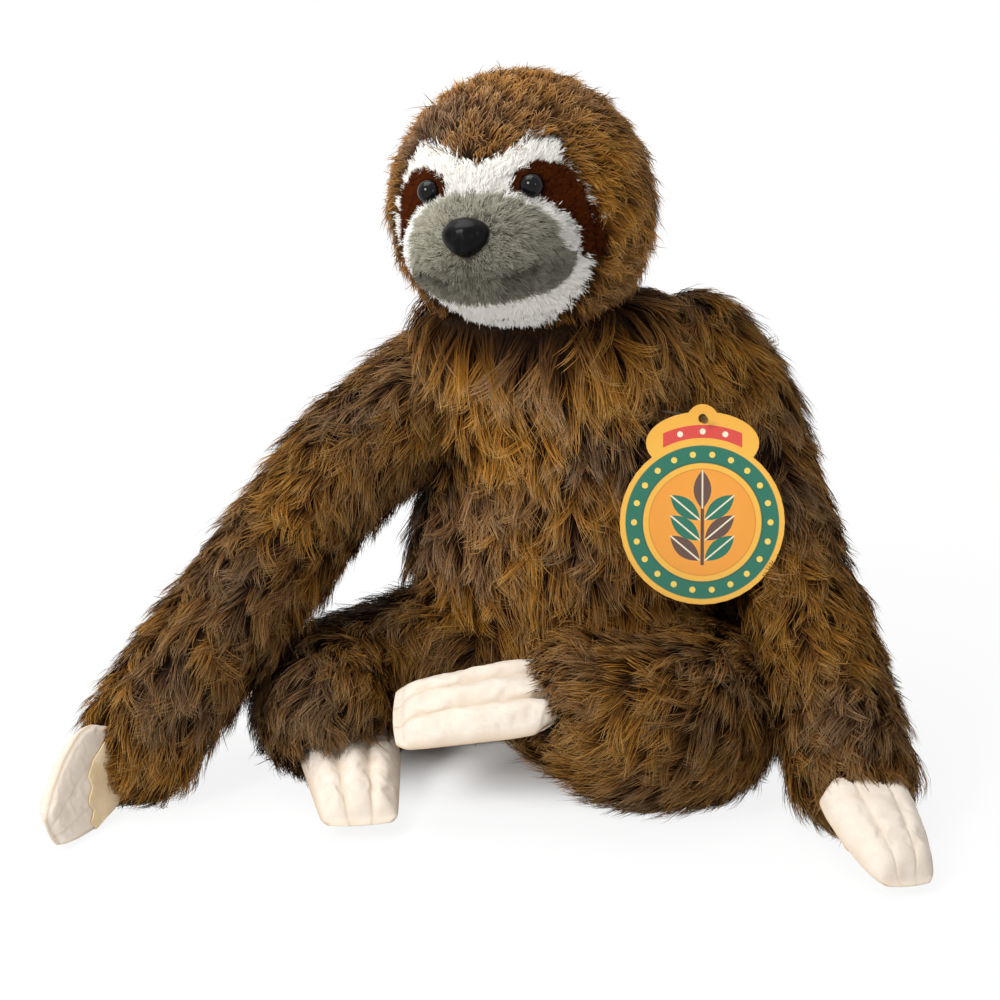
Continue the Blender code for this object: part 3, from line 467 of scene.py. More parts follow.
def ribbons(line, ups, strands, pile, rng):
    """Flat tapered ribbons round each lock's line: their vertex places and their locks' numbers."""
    owner = np.repeat(np.arange(len(line)), strands)
    count = len(owner)
    spread, clump, width = pile.spread, pile.clump, pile.width
    reach_of = spread * np.sqrt(rng.random(count))
    angle = rng.random(count) * 2 * math.pi
    first = unit(line[:, 1] - line[:, 0])[owner]
    up = ups[owner, 0]
    side = unit(np.cross(up, first))
    ahead = np.cross(side, up)
    offset = side * (reach_of * np.cos(angle))[:, None] + ahead * (reach_of * np.sin(angle))[:, None]
    stray = rng.random(count) < stray_share
    hold = np.where(stray, clump * stray_hold, clump * rng.uniform(0.8, 1.1, count))
    scale = rng.uniform(0.72, 1.06, count)
    jitter = rng.normal(0, 1, (count, 3)) * spread * np.where(stray, 0.60, 0.28)[:, None]
    roll = np.clip(rng.normal(0, 0.6, count), -1.2, 1.2)
    left, right, tips, facings = [], [], None, []
    for number, t in enumerate(ribbon_stations):
        at = np.clip(t * scale, 0, 1) * (stations - 1)
        low = np.minimum(at.astype(int), stations - 2)
        part = (at - low)[:, None]
        middle = line[owner, low] * (1 - part) + line[owner, low + 1] * part
        way = unit(line[owner, low + 1] - line[owner, low])
        lean = ups[owner, low]
        spot = middle + offset * (1 - hold * t ** 1.1)[:, None] + jitter * t ** 1.5
        spot = spot - lean * (root_depth * (1 - t))
        spot[:, 2] -= pile.droop * t * t
        face_side = unit(np.cross(way, lean))
        face_side = face_side * np.cos(roll)[:, None] + lean * np.sin(roll)[:, None]
        facings.append(unit(0.75 * lean + 0.25 * np.cross(face_side, way)))
        if number < len(ribbon_widths):
            half = face_side * (width * ribbon_widths[number] / 2)
            left.append(spot - half)
            right.append(spot + half)
        else:
            tips = spot
    places = np.stack([left[0], right[0], left[1], right[1], left[2], right[2], tips], 1)
    places[:, :, 2] = np.maximum(places[:, :, 2], floor_clearance)
    facings = np.stack([facings[at] for at in (0, 0, 1, 1, 2, 2, 3)], 1)
    return places, facings, owner


print("a fibre has", 2 * len(ribbon_widths) + 1, "corners")

# %% [markdown]
# The ribbons become one mesh, which is joined to its cloth. Their normals lean towards those of the
# cloth, because a mass of fine fibre is shaded as one soft surface.

# %% Pile and cloth in one piece
ribbon_faces = np.array([0, 1, 3, 2, 2, 3, 5, 4, 4, 5, 6])
ribbon_along = np.repeat(ribbon_stations, 2)[:-1]
fibre_corners = len(ribbon_along)


def ribbon_mesh(name, places):
    """A mesh of ribbons: two quads and a tip each."""
    count = len(places)
    mesh = bpy.data.meshes.new(name)
    base = np.arange(count)[:, None] * fibre_corners
    corners = (base + ribbon_faces).ravel()
    starts = (np.arange(count)[:, None] * len(ribbon_faces) + np.array([0, 4, 8])).ravel()
    mesh.vertices.add(count * fibre_corners)
    mesh.vertices.foreach_set("co", places.astype(np.float32).ravel())
    mesh.loops.add(len(corners))
    mesh.loops.foreach_set("vertex_index", corners.astype(np.int32))
    mesh.polygons.add(len(starts))
    mesh.polygons.foreach_set("loop_start", starts.astype(np.int32))
    mesh.update(calc_edges=True)
    mesh.polygons.foreach_set("use_smooth", np.ones(len(starts), bool))
    return mesh


def write_value(mesh, name, values):
    attribute = mesh.attributes.get(name) or mesh.attributes.new(name, "FLOAT", "POINT")
    attribute.data.foreach_set("value", values.astype(np.float32))


def join_pile(skin, places, facings, tone, lit, pile_finish):
    """Joins the ribbons to their cloth, and turns their normals towards the cloth's own."""
    mesh = ribbon_mesh(f"{skin.name}_pile", places)
    write_value(mesh, "along", np.tile(ribbon_along, len(places)))
    write_value(mesh, "tone", np.repeat(tone, fibre_corners))
    write_value(mesh, "lit", np.repeat(lit, fibre_corners))
    mesh.materials.append(skin.data.materials[0])
    mesh.materials.append(pile_finish)
    mesh.polygons.foreach_set("material_index", np.ones(len(mesh.polygons), np.int32))
    pile = bpy.data.objects.new(f"{skin.name}_pile", mesh)
    bpy.context.scene.collection.objects.link(pile)
    for key in ("along", "tone", "lit"):
        write_value(skin.data, key, np.zeros(len(skin.data.vertices)))
    skin.data.materials.append(pile_finish)
    cloth_facings = np.array([vertex.normal for vertex in skin.data.vertices])
    bpy.ops.object.select_all(action="DESELECT")
    pile.select_set(True)
    skin.select_set(True)
    bpy.context.view_layer.objects.active = skin
    bpy.ops.object.join()
    facings = np.concatenate([cloth_facings, facings.reshape(-1, 3)])
    skin.data.normals_split_custom_set_from_vertices(facings)
    return skin


print("a fibre's corners lie at", ribbon_along, "of its length")

# %% [markdown]
# The torso, the arms and the legs overlap where they are sewn together. A root that lies inside a
# neighbour can't be seen, so it is left out: a ray along its normal would meet the neighbour's
# cloth from within. On the head, the fur, the white panel and the eye patches share one round
# surface, so their fibres walk over all of it, and the muzzle hides what lies under it.

# %% Which roots are free
def tree_of(*meshes):
    """One search tree over the triangles of several meshes."""
    corners, faces = [], []
    for mesh in meshes:
        start = len(corners)
        corners += [vertex.co.copy() for vertex in mesh.vertices]
        faces += [tuple(start + corner for corner in face.vertices) for face in mesh.polygons]
    return BVHTree.FromPolygons(corners, faces)


furry = ("torso", "head", "left_arm", "right_arm", "left_leg", "right_leg")
cloth_trees = {f"{name}_cover": tree_of(nodes[f"{name}_cover"].data) for name in furry}
skull = ("head_cover", "face_panel", "left_eye_patch", "right_eye_patch")
skull_tree = tree_of(*(nodes[name].data for name in skull))
walk_trees = {**cloth_trees, **{name: skull_tree for name in skull}}
walk_trees["muzzle_cover"] = cloth_trees["muzzle_cover"] = tree_of(nodes["muzzle_cover"].data)
walk_trees["face_panel"] = tree_of(*(nodes[name].data for name in (*skull, "muzzle_cover")))
plastic_tree = tree_of(*(nodes[name].data for name in ("left_eye", "right_eye", "nose")))
sight = 60 * MM


def free_of_others(node, places, normals):
    """Which roots see the open air along their normals."""
    free = np.ones(len(places), bool)
    own = ("head_cover",) if node in skull else (node,)
    for other, other_tree in (*cloth_trees.items(), ("plastic", plastic_tree)):
        if other in own:
            continue
        for at in np.nonzero(free)[0]:
            up = Vector(normals[at])
            hit = other_tree.ray_cast(Vector(places[at]) + up * (0.2 * MM), up, sight)
            if hit[0] is not None and (hit[1].dot(up) > 0 or hit[3] < 1.5 * MM):
                free[at] = False
    return free


print("search trees:", len(walk_trees))

# %% [markdown]
# One function grows every pile on this toy, from the 24 mm fur down to the 2.2 mm nap of the velour.
# It takes the CAD piece, the stuffing under it, the way the pile lies, and how many locks it has.
# `trim` shortens the pile in places and `shade` darkens it, `keep` leaves roots out, and `borrow`
# roots some of it on a neighbour's cloth. Every stuffed skin is declared as padded.

# %% One pile
skin_wall = 2.0 * MM


def grow(
    node, name, filling, flow, locks, strands, pile, finish, cloth, tone_of, trim=None, seed=1,
    keep=None, borrow=(), shade=None,
):
    """A merged copy of a CAD skin with its pile on the outside, and over the edge of its neighbours."""
    rng = np.random.default_rng(seed)
    skin = cloth_copy(node, name)
    skin.data.materials.append(cloth)
    roots, normals, area = outer_roots(skin.data, tree_of(nodes[filling].data), skin_wall, locks, rng)
    if keep is not None:
        kept = keep(roots)
        roots, normals = roots[kept], normals[kept]
    for other, other_filling, other_locks, rule in borrow:
        more, more_normals, _ = outer_roots(
            nodes[other].data, tree_of(nodes[other_filling].data), skin_wall, other_locks, rng
        )
        kept = rule(more)
        roots = np.concatenate([roots, more[kept]])
        normals = np.concatenate([normals, more_normals[kept]])
    wanted = free_of_others(node, roots, normals)
    wanted &= ~((roots[:, 2] < 1.0 * MM) & (normals[:, 2] < -0.8))
    roots, normals = roots[wanted], normals[wanted]
    lengths = pile.length * rng.uniform(0.75, 1.15, len(roots))
    if trim is not None:
        lengths = lengths * trim(roots)
    line, ups = lock_lines(walk_trees[node], roots, normals, flow, lengths, pile, seed, rng)
    places, facings, owner = ribbons(line, ups, strands, pile, rng)
    tone = tone_of(roots) + rng.normal(0, 0.10, len(roots))
    tone = np.clip(tone[owner] + rng.normal(0, 0.09, len(owner)), 0, 1)
    lit = rng.normal(1.0, pile.uneven, len(roots))[owner] + rng.normal(0, pile.uneven, len(owner))
    if shade is not None:
        lit = lit * shade(roots)[owner]
    made = join_pile(skin, places, facings, tone, np.clip(lit, 0.3, 1.6), finish)
    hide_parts(node)
    print(name, "locks", len(roots), "fibres", len(owner), "area mm2", round(area / MM ** 2))
    return made


def mottled(roots, level=0.55, seed=3):
    """Golden and greyish patches about three centimetres wide."""
    wide = (soft_noise(roots, 26 * MM, seed) - 0.5) * 1.3
    return level + wide + (soft_noise(roots, 9 * MM, seed + 1) - 0.5) * 0.5


# %% [markdown]
# The torso's fur hangs straight down, and its locks curl as they will. Where the right arm is sewn
# on, the pile of both is caught in the seam, so it is shorter and darker there, and a fold shows.

# %% Torso fur
fur = Pile(
    length=24 * MM, lift=0.27, swirl=0.8, curl=0.6, spread=4.2 * MM, clump=0.56, width=0.40 * MM,
    droop=1.5 * MM, uneven=0.14,
)


def torso_flow(places):
    return np.tile([0.0, 0.0, -1.0], (len(places), 1))


def nearness(node, reach):
    """A measure of how close places are to another piece: 1 on it, and 0 from this reach on."""
    tree = tree_of(nodes[node].data)

    def near(places):
        gaps = np.array([tree.find_nearest(Vector(place))[3] for place in places])
        return np.clip(1 - gaps / reach, 0, 1)

    return near


near_right_arm = nearness("right_arm_cover", 15 * MM)


def below_seam(places):
    """Below the top of the right arm's seam."""
    return np.clip((0.175 - places[:, 2]) / 0.015, 0, 1)


def in_fold(places):
    """Close to the right arm, below the top of its seam."""
    return near_right_arm(places) * below_seam(places)


def torso_trim(places):
    """Shorter in the fold, and longer round the neck, where it stands up against the head."""
    return (1 - 0.5 * in_fold(places)) * (1 + 0.5 * np.clip((places[:, 2] - 0.185) / 0.015, 0, 1))


def torso_shade(places):
    """Darker in the fold, and darker towards the left shoulder."""
    left = np.clip((places[:, 0] - 0.015) / 0.025, 0, 1) * np.clip((places[:, 2] - 0.12) / 0.03, 0, 1)
    return (1 - 0.6 * in_fold(places)) * (1 - 0.3 * left)


torso_fur = grow(
    "torso_cover", "torso_fur", "torso_filling", torso_flow, 3600, 18, fur, long_pile, brown_backing,
    mottled, torso_trim, seed=5, shade=torso_shade,
)

# %% [markdown]
# On the limbs the pile runs from the shoulder or hip towards the claws, and gravity pulls it down a
# little. The path of each limb is written as the points that its CAD solid was built on.

# %% Limb paths
limb_paths = {
    "left_arm": ((0.0448, 0, 0.172), (0.0666, -0.0116, 0.1497), (0.0796, -0.0348, 0.1124),
                 (0.0970, -0.0667, 0.0692), (0.1115, -0.1305, 0.023)),
    "right_arm": ((-0.0652, 0, 0.156), (-0.1029, -0.0145, 0.1334), (-0.1319, -0.0363, 0.1068),
                  (-0.1551, -0.0638, 0.0802), (-0.1855, -0.0885, 0.0456), (-0.2015, -0.1001, 0.023)),
    "left_leg": ((0.046, -0.043, 0.0348), (0.0471, -0.0606, 0.0345), (0.0482, -0.0793, 0.0333),
                 (0.0416, -0.0969, 0.034), (0.0273, -0.109, 0.0374), (0.0086, -0.1134, 0.0423),
                 (-0.009, -0.1123, 0.0495)),
    "right_leg": ((-0.064, -0.022, 0.0348), (-0.0816, -0.0253, 0.0345), (-0.1003, -0.0352, 0.0288),
                  (-0.1146, -0.0506, 0.0292), (-0.1201, -0.0682, 0.0281), (-0.1157, -0.0836, 0.0275)),
}
for limb, path in limb_paths.items():
    print(limb, "is", round(sum(math.dist(a, b) for a, b in zip(path, path[1:])) / MM), "mm long")


def path_flow(points, pull):
    """Directions along a path, blended between its segments, with a downward pull."""
    knots = np.array(points)
    ways = unit(knots[1:] - knots[:-1])
    middles = (knots[1:] + knots[:-1]) / 2
    blend = 18 * MM

    def flow(places):
        gaps = np.linalg.norm(places[:, None] - middles[None], axis=2)
        weights = np.exp(-(gaps / blend) ** 2) + 1e-9
        mixed = (weights[:, :, None] * ways[None]).sum(1) / weights.sum(1, keepdims=True)
        mixed[:, 2] -= pull
        return mixed

    return flow


# %% [markdown]
# Fur that starts next to a foot's claw pack would hang over it, so it is shorn there, as on the real
# toy, where the round ends of the claws lie on top of the fur. On the hands it hangs over nearly as
# long as elsewhere. `least` says what share of the length is left, and `dye` how dark each limb is
# next to the chest. A foot's fur is pulled down more than an arm's.

# %% Rules for the limbs
near_torso = nearness("torso_cover", 50 * MM)


def armpit(places):
    """Close to the torso, on the underside of the right arm."""
    path = np.array(limb_paths["right_arm"][::-1])
    below = np.interp(places[:, 0], path[:, 0], path[:, 2]) - places[:, 2]
    return near_torso(places) * np.clip(below / (8 * MM), 0, 1)


def limb_tone(roots):
    """The limbs are a little more golden than the chest."""
    return mottled(roots, 0.68)


def limb_shade(limb, dye):
    """The limbs are cut from darker parts of the fabric, and the right arm has its fold."""
    def shade(roots):
        fold = near_torso(roots) ** 5 * below_seam(roots)
        return dye * (1 - 0.6 * fold) if limb == "right_arm" else np.full(len(roots), dye)

    return shade


def limb_trim(limb, pack, least):
    """Shorter pile close to a claw pack, and in the right armpit."""
    near_pack = nearness(pack, 24 * MM)

    def trim(places):
        shorn = least + (1 - least) * np.clip(1.09 * (1 - near_pack(places)) - 0.09, 0, 1)
        return shorn * (1 - 0.65 * armpit(places)) if limb == "right_arm" else shorn

    return trim


hand_trim = limb_trim("right_arm", "right_hand_claws", 0.8)
print("right arm's trim along its path:", hand_trim(np.array(limb_paths["right_arm"])).round(2))

# %% Limb fur
Limb = namedtuple("Limb", "pack locks pull least dye")
limbs = {
    "left_arm": Limb("left_hand_claws", 2300, 0.35, 0.95, 0.62),
    "right_arm": Limb("right_hand_claws", 2300, 0.35, 0.80, 0.62),
    "left_leg": Limb("left_foot_claws", 2000, 0.6, 0.10, 0.68),
    "right_leg": Limb("right_foot_claws", 1700, 0.6, 0.20, 0.54),
}
limb_fur = {}
for number, (limb, facts) in enumerate(limbs.items()):
    limb_fur[limb] = grow(
        f"{limb}_cover", f"{limb}_fur", f"{limb}_filling", path_flow(limb_paths[limb], facts.pull),
        facts.locks, 18, fur._replace(length=22 * MM), long_pile, brown_backing, limb_tone,
        limb_trim(limb, facts.pack, facts.least), seed=6 + number, shade=limb_shade(limb, facts.dye),
    )

# %% [markdown]
# The head's pile is brushed away from the face: back over the crown, and down at the sides. It is
# shorter next to the face panel, so that it frames the white plush. The crown is paler than the body.

# %% The head's own frame
head_radius = 55 * MM
head_frame = (
    Matrix.Translation((-0.032, -0.030, 0.252))
    @ Matrix.Rotation(-math.radians(19), 4, "Z")
    @ Matrix.Rotation(-math.radians(7), 4, "Y")
)
head_turn = np.array(head_frame.to_3x3())
head_middle = np.array(head_frame.translation)


def in_head(places):
    """Places in the head's own frame: X to its left, -Y out of the face, Z up."""
    return (places - head_middle) @ head_turn


print("head's middle", head_middle, "radius", head_radius)


# %% Rules for the head
def head_flow(places):
    local = in_head(places)
    away_way = unit(local * np.array([1, 0, 1]))
    side = np.clip(local[:, 2:3] / head_radius, -1, 1)
    front = np.clip(0.5 - 1.2 * local[:, 1:2] / head_radius, 0, 1)
    down = np.array([[0, 0, -1.0]])
    back = np.array([[0, 0.75, 0]])
    return (front * (away_way + down * (0.55 - 0.75 * side)) + back + (1 - front) * down) @ head_turn.T


def head_trim(places):
    """Shorter pile beside the face and on the crown, longer at the nape."""
    local = in_head(places) / head_radius
    frontal = np.clip((-local[:, 1] - 0.25) / 0.5, 0, 1)
    nape = np.clip((-local[:, 2] - 0.25) / 0.4, 0, 1) * np.clip(local[:, 1] + 0.6, 0, 1)
    return (1 - 0.45 * frontal) * (1 - 0.4 * np.clip(local[:, 2], 0, 1)) * (1 + 0.6 * nape)


def crown(places):
    """From 0 at the head's middle height and below to 1 on top."""
    return np.clip(in_head(places)[:, 2] / head_radius, 0, 1)


def head_tone(roots):
    """Greyer and paler on the crown, golden at the sides."""
    return mottled(roots, 0.72, 12) - 0.25 * crown(roots)


def crown_shade(roots):
    """The crown's pile stands up to the light, and looks a little paler."""
    return 0.93 + 0.20 * crown(roots)


print("trim on top of the head:", head_trim(head_middle[None] + head_turn[:, 2] * head_radius).round(2))

# %% [markdown]
# Sewn pieces of pile don't end where their cloth ends, because the longer pile of one covers the edge
# of the next. So the visible borders on the face are drawn here, as shares of the head's radius: what
# shows white, and what shows velour. A root outside these belongs to the fur. Sewing is never quite
# even: on the face's right side the white reaches further out, and the patch not so far.

# %% Borders on the face
white_half = (
    (0, 0.45), (0.11, 0.46), (0.22, 0.53), (0.35, 0.60), (0.46, 0.64), (0.54, 0.56), (0.61, 0.45),
    (0.665, 0.35), (0.745, 0.20), (0.815, 0.03), (0.84, -0.08), (0.80, -0.20), (0.745, -0.29),
    (0.71, -0.38), (0.63, -0.57), (0.46, -0.73), (0.26, -0.86), (0, -0.93),
)
velour_half = (
    (0.25, 0.29), (0.43, 0.345), (0.56, 0.36), (0.62, 0.325), (0.675, 0.26), (0.735, 0.16), (0.79, 0.05),
    (0.825, -0.06), (0.835, -0.16), (0.80, -0.30), (0.76, -0.40), (0.71, -0.37), (0.64, -0.17),
    (0.52, 0.00), (0.37, 0.11), (0.27, 0.18),
)
white_reach, velour_reach = 1.02, 0.96


def inside_half(places, half, right):
    """Which places on the head lie in an outline. On the face's right side it is this much wider."""
    shares = in_head(places) / head_radius
    across, up = np.abs(shares[:, 0]) / np.where(shares[:, 0] < 0, right, 1), shares[:, 2]
    crossings = np.zeros(len(places), int)
    for (x0, z0), (x1, z1) in zip(half, (*half[1:], half[0])):
        spans = (z0 > up) != (z1 > up)
        crossings += spans & (across < x0 + (up - z0) / ((z1 - z0) or 1) * (x1 - x0))
    return (crossings % 2 == 1) & (shares[:, 1] < 0)


def shows_velour(places):
    return inside_half(places, velour_half, velour_reach)


def shows_white(places):
    return inside_half(places, white_half, white_reach) & ~shows_velour(places)


def shows_fur(places):
    return ~inside_half(places, white_half, white_reach) & ~shows_velour(places)


print("corners of the borders:", len(white_half), len(velour_half))

# %% [markdown]
# The head's fur is grown on its own skin, and on the part of the face panel that the fur's longer
# pile hides. Its locks are shorter and hold together more than the body's.

# %% Head fur
head_fur = grow(
    "head_cover", "head_fur", "head_filling", head_flow, 2300, 20,
    fur._replace(length=20 * MM, lift=0.26, swirl=0.5, curl=0.4, clump=0.66, uneven=0.17),
    long_pile, brown_backing, head_tone, head_trim, seed=10, keep=shows_fur,
    borrow=(("face_panel", "head_filling", 1000, shows_fur),), shade=crown_shade,
)

# %% [markdown]
# The face is white plush with a pile of 4 mm that points away from the muzzle. It goes on over the
# muzzle's skin, behind the grey, where a rule says how far. The fur's skin carries some of it too,
# where the fur's edge is drawn further out than the panel's.

# %% Face panel
muzzle_middle = np.array([0, -41, -9]) * MM
muzzle_half = np.array([37, 33, 25]) * MM


def in_muzzle(places):
    """Places as shares of the muzzle's half sizes, from its middle."""
    return (in_head(places) - muzzle_middle) / muzzle_half


def behind_muzzle(places):
    """Where the muzzle's skin shows white: behind its front, on top and at the sides."""
    share = in_muzzle(places)
    limit = -0.44 + 1.1 * np.clip((0.05 - share[:, 2]) / 0.5, 0, 1) ** 1.5
    limit -= 1.1 * np.exp(-(share[:, 0] / 0.22) ** 2) * np.clip((-share[:, 2] - 0.55) / 0.2, 0, 1)
    limit -= np.clip((-share[:, 0] - 0.68) / 0.12, 0, 1)
    limit += (soft_noise(places, 4 * MM, 33) - 0.5) * 0.12
    return (share[:, 1] > limit) | (share[:, 2] < -0.80 + 0.10 * np.abs(share[:, 0]))


def face_flow(places):
    local = in_head(places)
    outward = local * np.array([1, 0, 1]) + np.array([0, 0, 9 * MM])
    return (unit(outward) + np.array([[0, 0.3, 0]])) @ head_turn.T


def even(roots):
    return 0.5 + (soft_noise(roots, 12 * MM, 21) - 0.5) * 0.8


plush = Pile(
    length=4 * MM, lift=0.38, swirl=0.5, curl=0.4, spread=1.7 * MM, clump=0.25, width=0.34 * MM,
    droop=0.2 * MM, uneven=0.03,
)
face_plush = grow(
    "face_panel", "face_plush", "head_filling", face_flow, 3000, 9, plush, white_pile, white_backing,
    even, seed=20, keep=shows_white, borrow=(
        ("muzzle_cover", "muzzle_filling", 3600, behind_muzzle),
        ("head_cover", "head_filling", 15000, shows_white),
    ),
)

# %% [markdown]
# Round each eye is a patch of brown velour, whose nap is so short that the cloth under it looks
# smooth. The panel's backing is brown under it too, so that no white shows beside a patch. Its faces
# are picked with numpy, because the pile beside them has too many for a loop.

# %% Brown backing under the patches
face_plush.data.materials.append(patch_backing)
spots = np.empty(len(face_plush.data.polygons) * 3)
face_plush.data.polygons.foreach_get("center", spots)
finish = np.empty(len(face_plush.data.polygons), np.int32)
face_plush.data.polygons.foreach_get("material_index", finish)
stained = (finish == 0) & shows_velour(spots.reshape(-1, 3))
face_plush.data.polygons.foreach_set("material_index", np.where(stained, 2, finish).astype(np.int32))
print("brown faces", int(stained.sum()), "of", int((finish == 0).sum()))


# %% Eye patches
nap = Pile(
    length=2.2 * MM, lift=0.45, swirl=0.4, curl=0.3, spread=1.0 * MM, clump=0.2, width=0.32 * MM,
    droop=0.0, uneven=0.08,
)


def on_side(sign):
    return lambda places: shows_velour(places) & (in_head(places)[:, 0] * sign > 0)


eye_patches = [
    grow(
        f"{side}_eye_patch", f"{side}_patch_velour", "head_filling", face_flow, 1300, 8, nap,
        velour_pile, patch_backing, even, seed=21 + number,
        borrow=(("face_panel", "head_filling", 22000, on_side(sign)),),
    )
    for number, (side, sign) in enumerate((("left", 1), ("right", -1)))
]

# %% [markdown]
# The muzzle is grey plush. Its pile is shorn short round the nose and along the mouth, and leans away
# from the nose on all sides, which gives the rays that the real one shows. The crease of the mouth,
# the groove under the nose, the corners and the chin are darker, because the pile is packed there.

# %% Rules for the muzzle
nose_place = np.array([0, -72.01, -0.45]) * MM


def muzzle_flow(places):
    local = in_head(places)
    outward = unit((local - nose_place) * np.array([1, 0.6, 1]))
    return (outward + np.array([[0, 0.25, -0.2]])) @ head_turn.T


def mouth_height(across):
    """Height of the mouth line as a share of the muzzle's half height, at a share across it."""
    return -0.40 + 0.16 * (across / 0.62) ** 2


def mouth_gap(places):
    """How far each place is from the mouth line, and far where there is no mouth."""
    share = in_muzzle(places)
    gap = np.abs(share[:, 2] - mouth_height(share[:, 0])) * muzzle_half[2]
    in_mouth = (np.abs(share[:, 0]) < 0.68) & (np.abs(share[:, 0]) > 0.26) & (share[:, 1] < 0)
    return np.where(in_mouth, gap, 1.0)


def muzzle_trim(places):
    from_nose = np.linalg.norm(in_head(places) - nose_place, axis=1)
    shorn = np.clip(mouth_gap(places) / (4.0 * MM), 0.35, 1)
    return shorn * np.clip((from_nose - 6 * MM) / (16 * MM), 0.35, 1)


def muzzle_tone(roots):
    """Lighter on top, and darker below."""
    share = in_muzzle(roots)
    return even(roots) + 0.25 * share[:, 2] - 0.05


def muzzle_shade(roots):
    """Dark pile in the crease of the mouth, under the nose, and in the corners below the cheeks."""
    share = in_muzzle(roots)
    crease = np.exp(-(mouth_gap(roots) / (2.6 * MM)) ** 2)
    groove = np.exp(-(share[:, 0] / 0.06) ** 2) * ((share[:, 2] < -0.1) & (share[:, 2] > -0.42))
    corner = np.exp(-((np.abs(share[:, 0]) - 0.80) / 0.10) ** 2 - ((share[:, 2] + 0.25) / 0.20) ** 2)
    low = np.clip((0.05 - share[:, 2]) / 0.35, 0, 1)
    right = np.clip((-share[:, 0] - 0.2) / 0.4, 0, 1)
    return (1 - 0.72 * crease - 0.3 * groove - 0.50 * corner) * (1 - 0.32 * low) * (1 + 0.25 * right)


def muzzle_front(places):
    return ~behind_muzzle(places)


print("mouth line at its middle and ends:", [round(mouth_height(at), 2) for at in (0, 0.62)])

# %% Muzzle
muzzle_plush = grow(
    "muzzle_cover", "muzzle_plush", "muzzle_filling", muzzle_flow, 3800, 10,
    plush._replace(
        length=6 * MM, lift=0.36, swirl=0.55, curl=0.4, spread=1.7 * MM, clump=0.4, width=0.28 * MM,
        uneven=0.07,
    ),
    grey_pile, grey_backing, muzzle_tone, muzzle_trim, seed=30, keep=muzzle_front, shade=muzzle_shade,
)

# %% [markdown]
# Each skin moves with the body that its solid moves with, and takes the same slot in the record's
# list of materials. One loop says it for all of them.

# %% Each skin rides on its body
for piece, body, slot in (
    (torso_fur, "torso", "long_fur"), (head_fur, "head", "long_fur"),
    *((piece, limb, "long_fur") for limb, piece in limb_fur.items()),
    (face_plush, "head", "white_plush"), (muzzle_plush, "head", "grey_plush"),
    *((piece, "head", "brown_velour") for piece in eye_patches),
):
    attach(piece, body)
    print(piece.name, "rides on", body, "as", slot)

# %% [markdown]
# From here on the pieces are modelled as by hand. These helpers pick faces by a rule, apply a
# modifier, and put a finished piece's place in its mesh, so that its object stays at the origin.

# %% Modelling helpers
def alone(piece):
    """Selects this piece only, in object mode."""
    if bpy.context.mode != "OBJECT":
        bpy.ops.object.mode_set(mode="OBJECT")
    bpy.ops.object.select_all(action="DESELECT")
    piece.select_set(True)
    bpy.context.view_layer.objects.active = piece


def pick_faces(piece, wanted):
    """Opens edit mode with only the faces selected whose centre and normal the rule wants."""
    alone(piece)
    bpy.ops.object.mode_set(mode="EDIT")
    bpy.ops.mesh.select_mode(type="FACE")
    bpy.ops.mesh.select_all(action="DESELECT")
    bpy.ops.object.mode_set(mode="OBJECT")
    for face in piece.data.polygons:
        face.select = bool(wanted(face.center, face.normal))
    bpy.ops.object.mode_set(mode="EDIT")


def modify(piece, kind, **settings):
    """Adds a modifier with its settings and applies it."""
    alone(piece)
    modifier = piece.modifiers.new(kind.lower(), kind)
    for key, value in settings.items():
        setattr(modifier, key, value)
    bpy.ops.object.modifier_apply(modifier=modifier.name)


def corners_of(mesh):
    places = np.empty(len(mesh.vertices) * 3)
    mesh.vertices.foreach_get("co", places)
    return places.reshape(-1, 3)


def move_corners(mesh, places):
    mesh.vertices.foreach_set("co", places.ravel())
    mesh.update()


def dress(piece, *finishes):
    piece.data.materials.clear()
    for finish in finishes:
        piece.data.materials.append(finish)


print("the head's skin has", len(corners_of(nodes["head_cover"].data)), "corners")

# %% [markdown]
# The safety eyes and the nose are injection moulded in black polypropylene. The mould of the eyes is
# polished, and that of the nose is satin. The plastic isn't quite black, and a faint unevenness bends
# its highlights.

# %% Black plastic
def black_plastic(name, smoothest, roughest, level):
    made, tree, shader = new_material(name, roughest, Specular_IOR_Level=level)
    where = add_node(tree, "ShaderNodeTexCoord", out="Object")
    cloud = add_node(tree, "ShaderNodeTexNoise", Vector=where, Scale=1 / (3 * MM), Detail=3.0)
    colour = add_node(tree, "ShaderNodeValToRGB", Fac=cloud, stops=((0.3, "#070607"), (0.7, "#0e0c0d")))
    tree.links.new(colour, shader.inputs["Base Color"])
    gloss = add_node(tree, "ShaderNodeMapRange", Value=cloud, To_Min=smoothest, To_Max=roughest)
    tree.links.new(gloss, shader.inputs["Roughness"])
    bump = add_node(tree, "ShaderNodeBump", Height=cloud, Distance=0.02 * MM, Strength=0.5)
    tree.links.new(bump, shader.inputs["Normal"])
    return made


eye_black = black_plastic("polished_black_polypropylene", 0.03, 0.07, 0.20)
nose_black = black_plastic("satin_black_polypropylene", 0.24, 0.36, 0.09)
print("plastics:", eye_black.name, nose_black.name)

# %% [markdown]
# A safety eye is a low dome on a ribbed post that goes through the cloth. The dome is the upper half
# of a sphere, cut flat by a bisect. Its flat side is inset and moved out a little, which bevels its
# rim. It is inset again to the size of the post, and the post is extruded from there, rib by rib.

# %% Eyes
eye_radius = 5.3 * MM
eye_height = 5.5 * MM
rim, rim_step = 0.35 * MM, 0.25 * MM
post_radius = 1.9 * MM
post_length = 11 * MM
ribs, rib_taper = 4, 0.85
eye_way = (0.418, -0.8635, 0.282)


